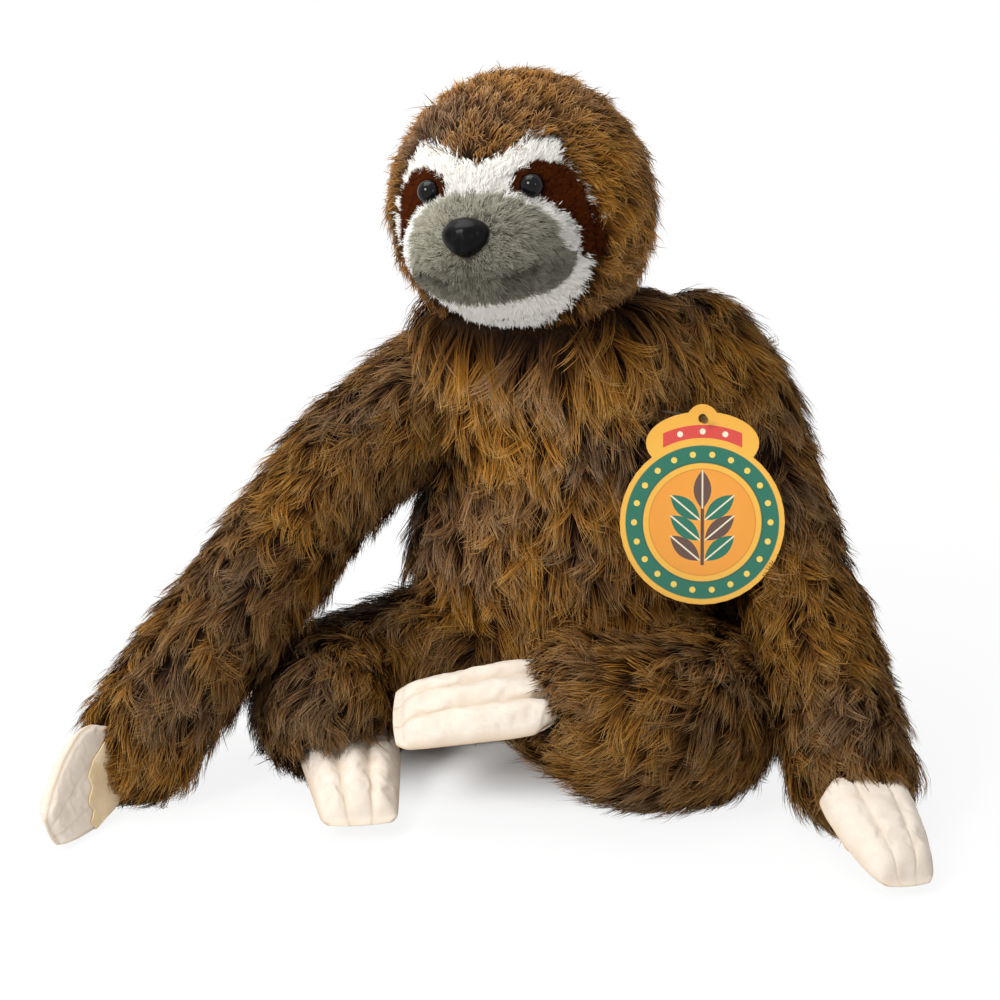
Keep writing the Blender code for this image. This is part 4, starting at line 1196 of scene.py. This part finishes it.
def safety_eye(name, place, look):
    bpy.ops.object.select_all(action="DESELECT")
    bpy.ops.mesh.primitive_uv_sphere_add(segments=40, ring_count=24, radius=eye_radius)
    eye = bpy.context.object
    eye.name = eye.data.name = name
    bpy.ops.object.mode_set(mode="EDIT")
    bpy.ops.mesh.select_all(action="SELECT")
    bpy.ops.mesh.bisect(plane_co=(0, 0, 0), plane_no=(0, 0, 1), use_fill=True, clear_inner=True)
    bpy.ops.mesh.select_all(action="SELECT")
    bpy.ops.transform.resize(value=(1, 1, eye_height / eye_radius))
    pick_faces(eye, lambda centre, normal: normal.z < -0.9 and centre.z < 0.1 * MM)
    bpy.ops.mesh.inset(thickness=rim)
    bpy.ops.transform.translate(value=(0, 0, -rim_step))
    bpy.ops.mesh.inset(thickness=eye_radius - rim - post_radius)
    for _ in range(ribs):
        bpy.ops.mesh.extrude_region_move(TRANSFORM_OT_translate={"value": (0, 0, -post_length / ribs)})
        bpy.ops.transform.resize(value=(rib_taper, rib_taper, 1))
        bpy.ops.mesh.extrude_region_move(TRANSFORM_OT_translate={"value": (0, 0, 0.02 * MM)})
        bpy.ops.transform.resize(value=(1 / rib_taper, 1 / rib_taper, 1))
    bpy.ops.object.mode_set(mode="OBJECT")
    bpy.ops.object.shade_smooth_by_angle(angle=math.radians(40))
    turn = look.to_track_quat("Z", "Y").to_matrix().to_4x4()
    eye.data.transform(Matrix.Translation(place) @ turn)
    dress(eye, eye_black)
    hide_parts(name.replace("_dome", ""))
    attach(eye, "head")
    print(name, "faces", len(eye.data.polygons))


for side, sign in (("left", 1), ("right", -1)):
    look = (head_frame.to_3x3() @ Vector((sign * eye_way[0], *eye_way[1:]))).normalized()
    safety_eye(f"{side}_eye_dome", head_frame.translation + look * (head_radius + 0.3 * MM), look)

# %% [markdown]
# The nose is one moulding too: broad on top, narrow below, with a soft ridge round its upper edge, a
# groove down its front and a nostril dent each side of that. A sphere is squashed to its three half
# sizes, and its corners are then pushed by smooth rules.

# %% Nose
nose_half = np.array([10.2, 8.0, 8.5]) * MM
nose_way = (0, -0.9014, 0.4330)
bpy.ops.object.select_all(action="DESELECT")
bpy.ops.mesh.primitive_uv_sphere_add(segments=64, ring_count=40, radius=1)
nose_button = bpy.context.object
nose_button.name = nose_button.data.name = "nose_button"
ball = corners_of(nose_button.data)
x, y, z = ball.T.copy()
front = np.clip(-y, 0, 1)
wide = 0.98 + 0.19 * z - 0.11 * z * z
groove = np.exp(-(x / 0.13) ** 2) * np.clip(0.25 - z, 0, 1) * front
dents = front * sum(
    np.exp(-((x - side * 0.42) / 0.20) ** 2 - ((z + 0.12) / 0.22) ** 2) for side in (-1, 1)
)
flat_top = np.exp(-((z - 0.62) / 0.25) ** 2) * front
shaped = np.stack([x * wide, y + 0.20 * groove + 0.13 * dents + 0.10 * flat_top, z], 1) * nose_half
move_corners(nose_button.data, shaped)
alone(nose_button)
bpy.ops.object.shade_smooth()
nose_look = (head_frame.to_3x3() @ Vector(nose_way)).normalized()
nose_side = (head_frame.to_3x3() @ Vector((1, 0, 0))).normalized()
nose_turn = Matrix((nose_side, -nose_look, nose_side.cross(-nose_look))).transposed().to_4x4()
nose_button.data.transform(Matrix.Translation(head_frame @ Vector(nose_place)) @ nose_turn)
dress(nose_button, nose_black)
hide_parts("nose")
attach(nose_button, "head")
print("nose is", [round(2 * half / MM, 1) for half in nose_half], "mm")

# %% [markdown]
# The claws and palms are microsuede, a polyester cloth whose surface is raised to a nap finer than
# half a millimetre. It looks matt and soft, a little darker in its folds, and bruised here and there
# where the nap lies another way. The mesh says how deep in a fold each point is, as `fold`.

# %% Microsuede
def microsuede(name, light, shade, fold_colour, sheen):
    made, tree, shader = new_material(name, 0.92, Sheen_Weight=sheen, Sheen_Roughness=0.4,
                                      Specular_IOR_Level=0.12)
    where = add_node(tree, "ShaderNodeTexCoord", out="Object")
    bruise = add_node(tree, "ShaderNodeTexNoise", Vector=where, Scale=1 / (9 * MM), Detail=3.0)
    grain = add_node(tree, "ShaderNodeTexNoise", Vector=where, Scale=1 / (0.6 * MM), Detail=2.0)
    base = add_node(tree, "ShaderNodeValToRGB", Fac=bruise, stops=((0.30, shade), (0.62, light)))
    fleck = add_node(
        tree, "ShaderNodeMapRange", Value=grain, From_Min=0.3, From_Max=0.7, To_Min=0.965, To_Max=1.03
    )
    base = add_node(tree, "ShaderNodeHueSaturation", Color=base, Value=fleck)
    fold = add_node(tree, "ShaderNodeAttribute", {"attribute_name": "fold"}, out="Fac")
    base = add_node(
        tree, "ShaderNodeMix", {"data_type": "RGBA"}, out=2, _0=fold, _6=base, _7=linear(fold_colour)
    )
    tree.links.new(base, shader.inputs["Base Color"])
    bump = add_node(tree, "ShaderNodeBump", Height=grain, Distance=0.12 * MM, Strength=0.5)
    tree.links.new(bump, shader.inputs["Normal"])
    return made


cream = microsuede("cream_microsuede", "#ece0d1", "#e6d7c6", "#c4ab8c", 0.12)
tan = microsuede("tan_microsuede", "#e8d0ab", "#dcc298", "#ab8f68", 0.10)
print("suedes:", cream.name, tan.name)

# %% [markdown]
# A claw pack is two layers of suede sewn round the edge, turned, stuffed and then sewn twice along its
# length, which makes three channels. So a grid is extruded to a thin flat bag, its corners are moved
# to the cut of the cloth, and a cloth simulation blows it up while the seams and the two rows of
# stitches hold still. The rim stays flat, as pressed seams do. A cut is written as its finished size,
# its plan (the share of the width at each share of the length), how deep the stitches pull it in, how
# far the tips part, how wide the flat rim is, and how far the cloth may swell.

# %% How a pack is cut
across_cells, along_cells = 36, 46
Cut = namedtuple("Cut", "length width height plan groove notch flange loose")
hand_plan = ((0, 0.72), (0.10, 0.98), (0.30, 1), (0.55, 0.92), (0.78, 0.77), (0.93, 0.62), (1, 0.48))
slim_plan = ((0, 0.60), (0.10, 0.88), (0.30, 1), (0.55, 0.90), (0.78, 0.66), (0.93, 0.44), (1, 0.30))
foot_plan = ((0, 0.76), (0.10, 0.98), (0.30, 1), (0.55, 0.96), (0.80, 0.92), (0.94, 0.88), (1, 0.78))
taper_plan = ((0, 0.78), (0.10, 1), (0.30, 0.99), (0.55, 0.90), (0.80, 0.80), (0.94, 0.74), (1, 0.66))


def plan_width(plan, along):
    """The plan's width share, rounded off between its points."""
    places, widths = zip(*plan)
    near = [np.interp(along + step, places, widths) for step in (-0.04, 0, 0.04)]
    return (near[0] + 2 * near[1] + near[2]) / 4


def bag_places(x, y, upper, cut):
    """Places of the bag's corners: X across, Y from root to tip, Z out of the back of the claws."""
    across, along = 2 * x, y + 0.5
    wave = np.abs(np.sin(1.5 * np.pi * (across + 1))) ** 0.6
    inner = np.clip(1 - np.abs(across) * (1 + cut.flange), 0, 1)
    side = np.clip(1 - (1 - inner) ** 4, 0, 1) ** 0.5
    end = np.clip((1 - along * (1 + cut.flange)) / 0.16, 0, 1)
    tip = np.clip(1 - (1 - end) ** 2.5, 0, 1) ** 0.5
    start = np.clip(along / 0.10, 0, 1)
    root = 0.55 + 0.45 * start * start * (3 - 2 * start)
    tall = cut.height * (0.42 + 0.58 * np.sin(np.pi * (0.25 + 0.70 * along)) ** 0.5) * root
    open_root = np.exp(-(along / 0.09) ** 2)
    groove = cut.groove + (0.9 - cut.groove) * open_root
    rise = 1 - groove * (1 - wave)
    rim = 0.16 * cut.height
    top = rim + (tall - rim) * side * tip * rise * (1 - 0.28 * across ** 2)
    under = rim * (1 - side * tip) + 0.35 * rim * (1 - wave) * side * tip
    under = under + 0.5 * tall * open_root * (1 - wave)
    half_cloth = 0.45 * MM
    height = np.where(upper, top + half_cloth, np.minimum(under, top) - half_cloth)
    slim = np.clip((along - 0.93) / 0.07, 0, 1)
    half_width = cut.width / 2 * plan_width(cut.plan, along) * (1 - 0.10 * slim ** 2)
    pull = cut.notch * (1 - wave) * np.clip(1 - along, 0, 1) ** 6
    bow = 0.02 * cut.length * (1 - across ** 2) * slim
    return np.stack([across * half_width, along * cut.length + pull + bow, height + half_cloth], 1), wave


print("a pack has", across_cells, "by", along_cells, "cells on each side")

# %% [markdown]
# The stuffing is a pressure inside the bag. Gravity is off, because the pack is firm and light. Every
# corner's move is measured afterwards, and cut short where the cloth swelled too far.

# %% Blowing a pack up
stuffing_pressure = 2.5


def puff(piece, held, pressure, most):
    """Blows the bag up with Cloth, held at some corners, and lets no corner move further than most."""
    before = corners_of(piece.data)
    group = piece.vertex_groups.new(name="stitches")
    group.add([int(at) for at in np.nonzero(held)[0]], 1.0, "REPLACE")
    cloth = piece.modifiers.new("cloth", "CLOTH")
    cloth.settings.quality = 6
    cloth.settings.mass = 0.1
    cloth.settings.tension_stiffness = cloth.settings.compression_stiffness = 12
    cloth.settings.bending_stiffness = 0.3
    cloth.settings.shrink_min = -0.04
    cloth.settings.use_pressure = True
    cloth.settings.uniform_pressure_force = pressure
    cloth.settings.vertex_group_mass = "stitches"
    cloth.settings.effector_weights.gravity = 0
    cloth.collision_settings.use_collision = False
    scene = bpy.context.scene
    for number in range(1, 21):
        scene.frame_set(number)
    alone(piece)
    bpy.ops.object.modifier_apply(modifier=cloth.name)
    scene.frame_set(1)
    piece.vertex_groups.clear()
    move = corners_of(piece.data) - before
    far = np.linalg.norm(move, axis=1, keepdims=True)
    move_corners(piece.data, before + move * np.minimum(1, most / np.maximum(far, 1e-9)))
    print(piece.name, "swelled by up to", round(float(far.max()) / MM, 2), "mm, kept within", most / MM)


# %% One pack
def claw_pack(name, body, root, along, back, cut):
    bpy.ops.object.select_all(action="DESELECT")
    bpy.ops.mesh.primitive_grid_add(x_subdivisions=across_cells, y_subdivisions=along_cells, size=1)
    pack = bpy.context.object
    pack.name = pack.data.name = f"{name}_suede"
    bpy.ops.object.mode_set(mode="EDIT")
    bpy.ops.mesh.select_all(action="SELECT")
    bpy.ops.mesh.extrude_region_move(TRANSFORM_OT_translate={"value": (0, 0, -1)})
    bpy.ops.mesh.select_all(action="SELECT")
    bpy.ops.mesh.normals_make_consistent(inside=False)
    bpy.ops.object.mode_set(mode="OBJECT")
    x, y, z = corners_of(pack.data).T
    upper = z > -0.5
    places, wave = bag_places(x, y, upper, cut)
    move_corners(pack.data, places)
    edge = (np.abs(x) > 0.47) | (y > 0.47) | (y < -0.44)
    puff(pack, edge | (wave < 0.25), stuffing_pressure, cut.loose)
    deep = np.clip(1 - wave, 0, 1) ** 2.5 * (0.15 + cut.groove)
    deep += np.where(np.abs(x) > 0.47, 0.25, 0) + np.where(y > 0.465, 0.2, 0)
    write_value(pack.data, "fold", np.clip(deep + 0.5 * np.exp(-((y + 0.5) / 0.05)), 0, 1))
    modify(pack, "SUBSURF", levels=1, render_levels=1)
    alone(pack)
    bpy.ops.object.shade_smooth()
    dress(pack, cream)
    along, back = Vector(along).normalized(), Vector(back)
    across = along.cross(back).normalized()
    turn = Matrix((across, along, across.cross(along))).transposed().to_4x4()
    place = Matrix.Translation(root) @ turn
    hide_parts(name)
    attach(pack, body)
    return pack, place


# %% [markdown]
# Each pack is placed by the point where its root is sewn on, the way that it points, and the way that
# its back looks. Its place is kept beside it, because the palm pads are laid on before it moves there.
# The right hand is rolled, so its pack looks slimmer. The right foot's pack narrows to its tip.

# %% Four packs
hand_cut = Cut(62 * MM, 42 * MM, 14 * MM, hand_plan, 0.12, 5 * MM, 0.06, 0.5 * MM)
slim_cut = hand_cut._replace(length=60 * MM, plan=slim_plan, loose=0.3 * MM)
foot_cut = Cut(73 * MM, 45 * MM, 14 * MM, foot_plan, 0.36, 9 * MM, 0.05, 0.8 * MM)
right_foot_cut = foot_cut._replace(plan=taper_plan)
packs = {
    "left_hand_claws": (
        (0.110795, -0.142535, 0.02126), (0.23, -0.91, -0.30), (0.10, -0.20, 1.0), hand_cut,
    ),
    "right_hand_claws": (
        (-0.2070, -0.1115, 0.02850), (-0.35, -0.89, -0.30), (-0.69, 0.48, -0.14), slim_cut,
    ),
    "left_foot_claws": (
        (-0.01395, -0.1178, 0.05281), (-0.97, 0.03, -0.17), (0, -0.38, 0.92), foot_cut,
    ),
    "right_foot_claws": (
        (-0.1102, -0.0770, 0.01541), (0.13, -0.98, -0.14), (0, 0, 1), right_foot_cut,
    ),
}
bodies = {name: nodes[name]["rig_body"] for name in packs}
made_packs = {name: claw_pack(name, bodies[name], *facts) for name, facts in packs.items()}
print("packs ride on", sorted(bodies.values()))

# %% [markdown]
# Each hand has a pad of tan suede on its palm side, cut with a jagged front edge. A polygon is moved
# to the outline, split into small faces, and laid on the puffed palm by a shrinkwrap, so that it
# follows the channels. A Solidify gives it the thickness of the cloth.

# %% Palm pads
pad_outline = (
    (-0.42, 0.08), (0.84, 0.08), (0.88, 0.30), (0.84, 0.60), (0.58, 0.64), (0.44, 0.56), (0.20, 0.58),
    (0.02, 0.48), (-0.20, 0.46), (-0.34, 0.34),
)


def palm_pad(node, pack, body, cut):
    bpy.ops.object.select_all(action="DESELECT")
    bpy.ops.mesh.primitive_circle_add(vertices=len(pad_outline), fill_type="NGON", location=(0, 0, 0))
    pad = bpy.context.object
    pad.name = pad.data.name = f"{node}_suede"
    outline = [(across * cut.width / 2, along * cut.length, -6 * MM) for across, along in pad_outline]
    move_corners(pad.data, np.array(outline))
    bpy.ops.object.mode_set(mode="EDIT")
    bpy.ops.mesh.select_all(action="SELECT")
    bpy.ops.mesh.quads_convert_to_tris(quad_method="BEAUTY", ngon_method="BEAUTY")
    bpy.ops.mesh.subdivide(number_cuts=7)
    bpy.ops.mesh.tris_convert_to_quads()
    bpy.ops.object.mode_set(mode="OBJECT")
    modify(
        pad, "SHRINKWRAP", target=pack, wrap_method="PROJECT", use_project_z=True,
        use_positive_direction=True, use_negative_direction=False,
    )
    pad.data.transform(Matrix.Translation((0, 0, -0.25 * MM)))
    modify(pad, "SOLIDIFY", thickness=0.8 * MM, offset=-1 if pad.data.polygons[0].normal.z > 0 else 1)
    bpy.ops.object.mode_set(mode="EDIT")
    bpy.ops.mesh.select_all(action="SELECT")
    bpy.ops.mesh.normals_make_consistent(inside=False)
    bpy.ops.object.mode_set(mode="OBJECT")
    modify(pad, "BEVEL", width=0.25 * MM, segments=2, limit_method="ANGLE", angle_limit=math.radians(50))
    write_value(pad.data, "fold", np.zeros(len(pad.data.vertices)))
    alone(pad)
    bpy.ops.object.shade_smooth_by_angle(angle=math.radians(50))
    dress(pad, tan)
    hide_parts(node)
    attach(pad, body)
    print(pad.name, "faces", len(pad.data.polygons))
    return pad


for name, (pack, place) in made_packs.items():
    pieces = [pack]
    if "hand" in name:
        pad = palm_pad(name.replace("hand_claws", "palm_pad"), pack, bodies[name], packs[name][3])
        pieces.append(pad)
    for piece in pieces:
        piece.data.transform(place)
        piece.data.update()

# %% [markdown]
# The tag is printed card with a gloss varnish. Its print is plain: a gold edge, a green ring with
# small dots, and an orange middle with a leafy twig. It is drawn by maths on the card's own
# millimetres. A Mapping node of type Texture moves the card's middle to the origin and stands it
# upright, so X runs across, Z runs up and Y below zero is the printed side.

# %% Printed card
card_lean = math.radians(15)
tag_hook = Vector((0.0485, -0.059, 0.1625))
card_down = Matrix.Rotation(-card_lean, 3, "X") @ Vector((0, 0, -1))
card_middle = tag_hook + card_down * (46.6 * MM)
card, tree, shader = new_material(
    "varnished_printed_card", 0.32, Coat_Weight=0.35, Coat_Roughness=0.18
)
where = add_node(tree, "ShaderNodeTexCoord", out="Object")
spot = add_node(
    tree, "ShaderNodeMapping", {"vector_type": "TEXTURE"},
    Vector=where, Location=card_middle, Rotation=(-card_lean, 0, 0), Scale=(MM, MM, MM),
)
x, y, z = [add_node(tree, "ShaderNodeSeparateXYZ", out=axis, Vector=spot) for axis in "XYZ"]
flat = add_node(tree, "ShaderNodeCombineXYZ", X=x, Y=z)
radius = add_node(tree, "ShaderNodeVectorMath", {"operation": "LENGTH"}, out="Value", _0=flat)
share = add_node(tree, "ShaderNodeMath", {"operation": "DIVIDE"}, _0=radius, _1=50.0)
print_colour = add_node(tree, "ShaderNodeValToRGB", Fac=share, stops=(
    (0.0, "#f2a43a"), (0.466, "#ef9c33"), (0.470, "#c97a22"), (0.480, "#f3b844"), (0.522, "#f3b844"),
    (0.526, "#0c4f3d"), (0.545, "#0b6a52"), (0.678, "#0b6a52"), (0.684, "#f3b844"), (1.0, "#f0ae3c"),
))
print("card's middle", [round(at, 4) for at in card_middle])

# %% [markdown]
# Every further colour is laid over the print with a Mix node, where a mask is 1. A row of equal dots
# comes from the angle: times the number of dots, only its fraction is kept, so one rule draws all.

# %% Dots in the ring
laid_over = ("ShaderNodeMix", {"data_type": "RGBA"}, 2)
dots, dot_ring, dot_radius = 22, 30.2, 1.35
turn_share = add_node(tree, "ShaderNodeMath", {"operation": "ARCTAN2"}, _0=x, _1=z)
turn_share = add_node(
    tree, "ShaderNodeMath", {"operation": "MULTIPLY"}, _0=turn_share, _1=dots / (2 * math.pi)
)
turn_share = add_node(tree, "ShaderNodeMath", {"operation": "FRACT"}, _0=turn_share)
turn_share = add_node(tree, "ShaderNodeMath", {"operation": "SUBTRACT"}, _0=turn_share, _1=0.5)
arc = add_node(
    tree, "ShaderNodeMath", {"operation": "MULTIPLY"}, _0=turn_share, _1=2 * math.pi * dot_ring / dots
)
off_ring = add_node(tree, "ShaderNodeMath", {"operation": "SUBTRACT"}, _0=radius, _1=dot_ring)
pair = add_node(tree, "ShaderNodeCombineXYZ", X=arc, Y=off_ring)
gap = add_node(tree, "ShaderNodeVectorMath", {"operation": "LENGTH"}, out="Value", _0=pair)
mask = add_node(tree, "ShaderNodeMath", {"operation": "LESS_THAN"}, _0=gap, _1=dot_radius)
print_colour = add_node(tree, *laid_over, _0=mask, _6=print_colour, _7=linear("#f6cf5c"))
print("dots in the ring:", dots, "on a radius of", dot_ring, "mm")

# %% [markdown]
# The header has a plain red stripe, bent round the ring, and three cream dots.

# %% Header stripe
stripe_ring, stripe_half, stripe_reach = 40.2, 2.9, 17.5
stripe_dot, stripe_dots = 1.3, (-10, 0, 10)
mask = add_node(
    tree, "ShaderNodeMath", {"operation": "COMPARE"}, _0=radius, _1=stripe_ring, _2=stripe_half
)
sideways = add_node(tree, "ShaderNodeMath", {"operation": "ABSOLUTE"}, _0=x)
middle = add_node(tree, "ShaderNodeMath", {"operation": "LESS_THAN"}, _0=sideways, _1=stripe_reach)
mask = add_node(tree, "ShaderNodeMath", {"operation": "MULTIPLY"}, _0=mask, _1=middle)
upper_half = add_node(tree, "ShaderNodeMath", {"operation": "GREATER_THAN"}, _0=z, _1=0.0)
mask = add_node(tree, "ShaderNodeMath", {"operation": "MULTIPLY"}, _0=mask, _1=upper_half)
print_colour = add_node(tree, *laid_over, _0=mask, _6=print_colour, _7=linear("#d8443a"))
for across in stripe_dots:
    place = (across, math.sqrt(stripe_ring ** 2 - across ** 2), 0)
    far = add_node(
        tree, "ShaderNodeVectorMath", {"operation": "DISTANCE"}, out="Value", _0=flat, _1=place
    )
    mask = add_node(tree, "ShaderNodeMath", {"operation": "LESS_THAN"}, _0=far, _1=stripe_dot)
    print_colour = add_node(tree, *laid_over, _0=mask, _6=print_colour, _7=linear("#f7ead0"))
print("stripe", 2 * stripe_half, "mm wide with", len(stripe_dots), "dots")

# %% [markdown]
# A leaf is the set of points where 1 - z * z is more than the size of x, once a Mapping node has
# scaled it to a unit square. A loop lays three pairs of them along the twig, and one at its end.

# %% Twig and leaves
leaf_side, first_leaf, leaf_step, leaf_lean, last_leaf = 7.6, -11.5, 9.0, 50, 14.5
leaf_half, vein_half = (3.9, 1, 8.6), 0.09
stem_half, stem_reach = 0.75, 19.0
leaves = [
    (side * leaf_side, first_leaf + leaf_step * row, side * leaf_lean)
    for row in range(3) for side in (-1, 1)
]
leaves.append((0, last_leaf, 0))
stem = add_node(tree, "ShaderNodeMath", {"operation": "ABSOLUTE"}, _0=x)
stem_wide = add_node(tree, "ShaderNodeMath", {"operation": "LESS_THAN"}, _0=stem, _1=stem_half)
stem_long = add_node(tree, "ShaderNodeMath", {"operation": "ABSOLUTE"}, _0=z)
stem_long = add_node(tree, "ShaderNodeMath", {"operation": "LESS_THAN"}, _0=stem_long, _1=stem_reach)
mask = add_node(tree, "ShaderNodeMath", {"operation": "MULTIPLY"}, _0=stem_wide, _1=stem_long)
print_colour = add_node(tree, *laid_over, _0=mask, _6=print_colour, _7=linear("#54362a"))
for number, (across, height, lean) in enumerate(leaves):
    leaf = add_node(
        tree, "ShaderNodeMapping", {"vector_type": "TEXTURE"}, Vector=spot,
        Location=(across, 0, height), Rotation=(0, math.radians(lean), 0), Scale=leaf_half,
    )
    leaf_x, leaf_z = [add_node(tree, "ShaderNodeSeparateXYZ", out=axis, Vector=leaf) for axis in "XZ"]
    bend = add_node(tree, "ShaderNodeMath", {"operation": "MULTIPLY"}, _0=leaf_z, _1=leaf_z)
    inside = add_node(tree, "ShaderNodeMath", {"operation": "ABSOLUTE"}, _0=leaf_x)
    edge = add_node(tree, "ShaderNodeMath", {"operation": "ADD"}, _0=bend, _1=inside)
    mask = add_node(tree, "ShaderNodeMath", {"operation": "LESS_THAN"}, _0=edge, _1=1.0)
    leaf_colour = linear("#0e6b52" if number % 3 else "#5c4033")
    print_colour = add_node(tree, *laid_over, _0=mask, _6=print_colour, _7=leaf_colour)
    vein = add_node(tree, "ShaderNodeMath", {"operation": "LESS_THAN"}, _0=inside, _1=vein_half)
    mask = add_node(tree, "ShaderNodeMath", {"operation": "MULTIPLY"}, _0=vein, _1=mask)
    print_colour = add_node(tree, *laid_over, _0=mask, _6=print_colour, _7=linear("#efe3c8"))
print("leaves:", len(leaves))

# %% [markdown]
# The back and the edges of the card are bare board. The board's own grain shows a little through the
# varnish.

# %% Bare back of the card
printed_depth = -0.45
back_side = add_node(
    tree, "ShaderNodeMath", {"operation": "GREATER_THAN"}, _0=y, _1=printed_depth
)
print_colour = add_node(tree, *laid_over, _0=back_side, _6=print_colour, _7=linear("#efe9dc"))
tree.links.new(print_colour, shader.inputs["Base Color"])
grain = add_node(tree, "ShaderNodeTexNoise", Vector=where, Scale=1 / (1.2 * MM), Detail=3.0)
bump = add_node(tree, "ShaderNodeBump", Height=grain, Distance=0.02 * MM, Strength=0.4)
tree.links.new(bump, shader.inputs["Normal"])
print("card nodes", len(tree.nodes))

# %% [markdown]
# Some CAD solids have the right shape already: the card, its nylon fastener, the thread of the mouth,
# and what lies inside the toy. They stay, and only get their finish. The fastener and the washers are
# clear nylon. It isn't quite clear: a faint smoky tint and a satin surface keep it from sparkling.

# %% Clear nylon
nylon, tree, shader = new_material(
    "clear_nylon", 0.5, Transmission_Weight=1.0, IOR=1.3, Specular_IOR_Level=0.1
)
where = add_node(tree, "ShaderNodeTexCoord", out="Object")
smoke = add_node(tree, "ShaderNodeTexNoise", Vector=where, Scale=1 / (2 * MM), Detail=2.0)
colour = add_node(tree, "ShaderNodeValToRGB", Fac=smoke, stops=((0.3, "#b9ab95"), (0.7, "#cbbea9")))
tree.links.new(colour, shader.inputs["Base Color"])
print("nylon nodes", len(tree.nodes))

# %% [markdown]
# The mouth is stitched with a dark twisted cotton thread, which is matt. A diagonal wave every
# 1.2 mm stands for the twist.

# %% Cotton thread
thread, tree, shader = new_material("dark_cotton_thread", 0.8, Specular_IOR_Level=0.15)
where = add_node(tree, "ShaderNodeTexCoord", out="Object")
twist = add_node(
    tree, "ShaderNodeTexWave", {"bands_direction": "DIAGONAL"},
    Vector=where, Scale=1 / (1.2 * MM), Distortion=1.0,
)
colour = add_node(tree, "ShaderNodeValToRGB", Fac=twist, stops=((0.2, "#3d392f"), (0.8, "#57523f")))
tree.links.new(colour, shader.inputs["Base Color"])
bump = add_node(tree, "ShaderNodeBump", Height=twist, Distance=0.1 * MM, Strength=0.6)
tree.links.new(bump, shader.inputs["Normal"])
print("thread nodes", len(tree.nodes))

# %% [markdown]
# The stuffing is a cloud of polyester fibre. It isn't seen, unless a limb bends far. It is dark
# brown here, like the fur, so that nothing pale shows between the locks.

# %% Polyester filling
fibre, tree, shader = new_material(
    "polyester_fibre_filling", 0.95, Sheen_Weight=0.2, Specular_IOR_Level=0.1
)
where = add_node(tree, "ShaderNodeTexCoord", out="Object")
strands = add_node(tree, "ShaderNodeMapping", Vector=where, Scale=(1, 1, 4))
strands = add_node(tree, "ShaderNodeTexNoise", Vector=strands, Scale=1 / (4 * MM), Detail=5.0)
colour = add_node(tree, "ShaderNodeValToRGB", Fac=strands, stops=((0.3, "#3a2d20"), (0.7, "#54432f")))
tree.links.new(colour, shader.inputs["Base Color"])
bump = add_node(tree, "ShaderNodeBump", Height=strands, Distance=0.8 * MM, Strength=0.7)
tree.links.new(bump, shader.inputs["Normal"])
print("filling nodes", len(tree.nodes))

# %% [markdown]
# The pellets sit in a bag of calico, a plain woven cotton. Its threads are much finer than 3 mm, but
# that is the finest weave that would still show.

# %% Calico
calico, tree, shader = new_material("cotton_calico", 0.9, Specular_IOR_Level=0.12)
where = add_node(tree, "ShaderNodeTexCoord", out="Object")
threads = [
    add_node(tree, "ShaderNodeTexWave", {"bands_direction": axis}, Vector=where, Scale=1 / (3 * MM))
    for axis in "XZ"
]
weave = add_node(tree, "ShaderNodeMath", {"operation": "MULTIPLY"}, _0=threads[0], _1=threads[1])
colour = add_node(tree, "ShaderNodeValToRGB", Fac=weave, stops=((0.0, "#b8ab92"), (1.0, "#ded3bd")))
tree.links.new(colour, shader.inputs["Base Color"])
bump = add_node(tree, "ShaderNodeBump", Height=weave, Distance=0.2 * MM, Strength=0.6)
tree.links.new(bump, shader.inputs["Normal"])
print("calico nodes", len(tree.nodes))

# %% [markdown]
# A CAD solid keeps its mesh, so only its material slots get the new finish.

# %% Finishes for the pieces that stay
stay = {
    "hang_tag": card, "tag_fastener": nylon, "mouth_stitch": thread, "pellet_bag": calico,
    **{name: nylon for name in nodes if name.endswith("washer")},
    **{name: fibre for name in nodes if name.endswith("filling")},
}
for name, finish in stay.items():
    for slot in nodes[name].material_slots:
        slot.material = finish
print("dressed CAD nodes:", len(stay))
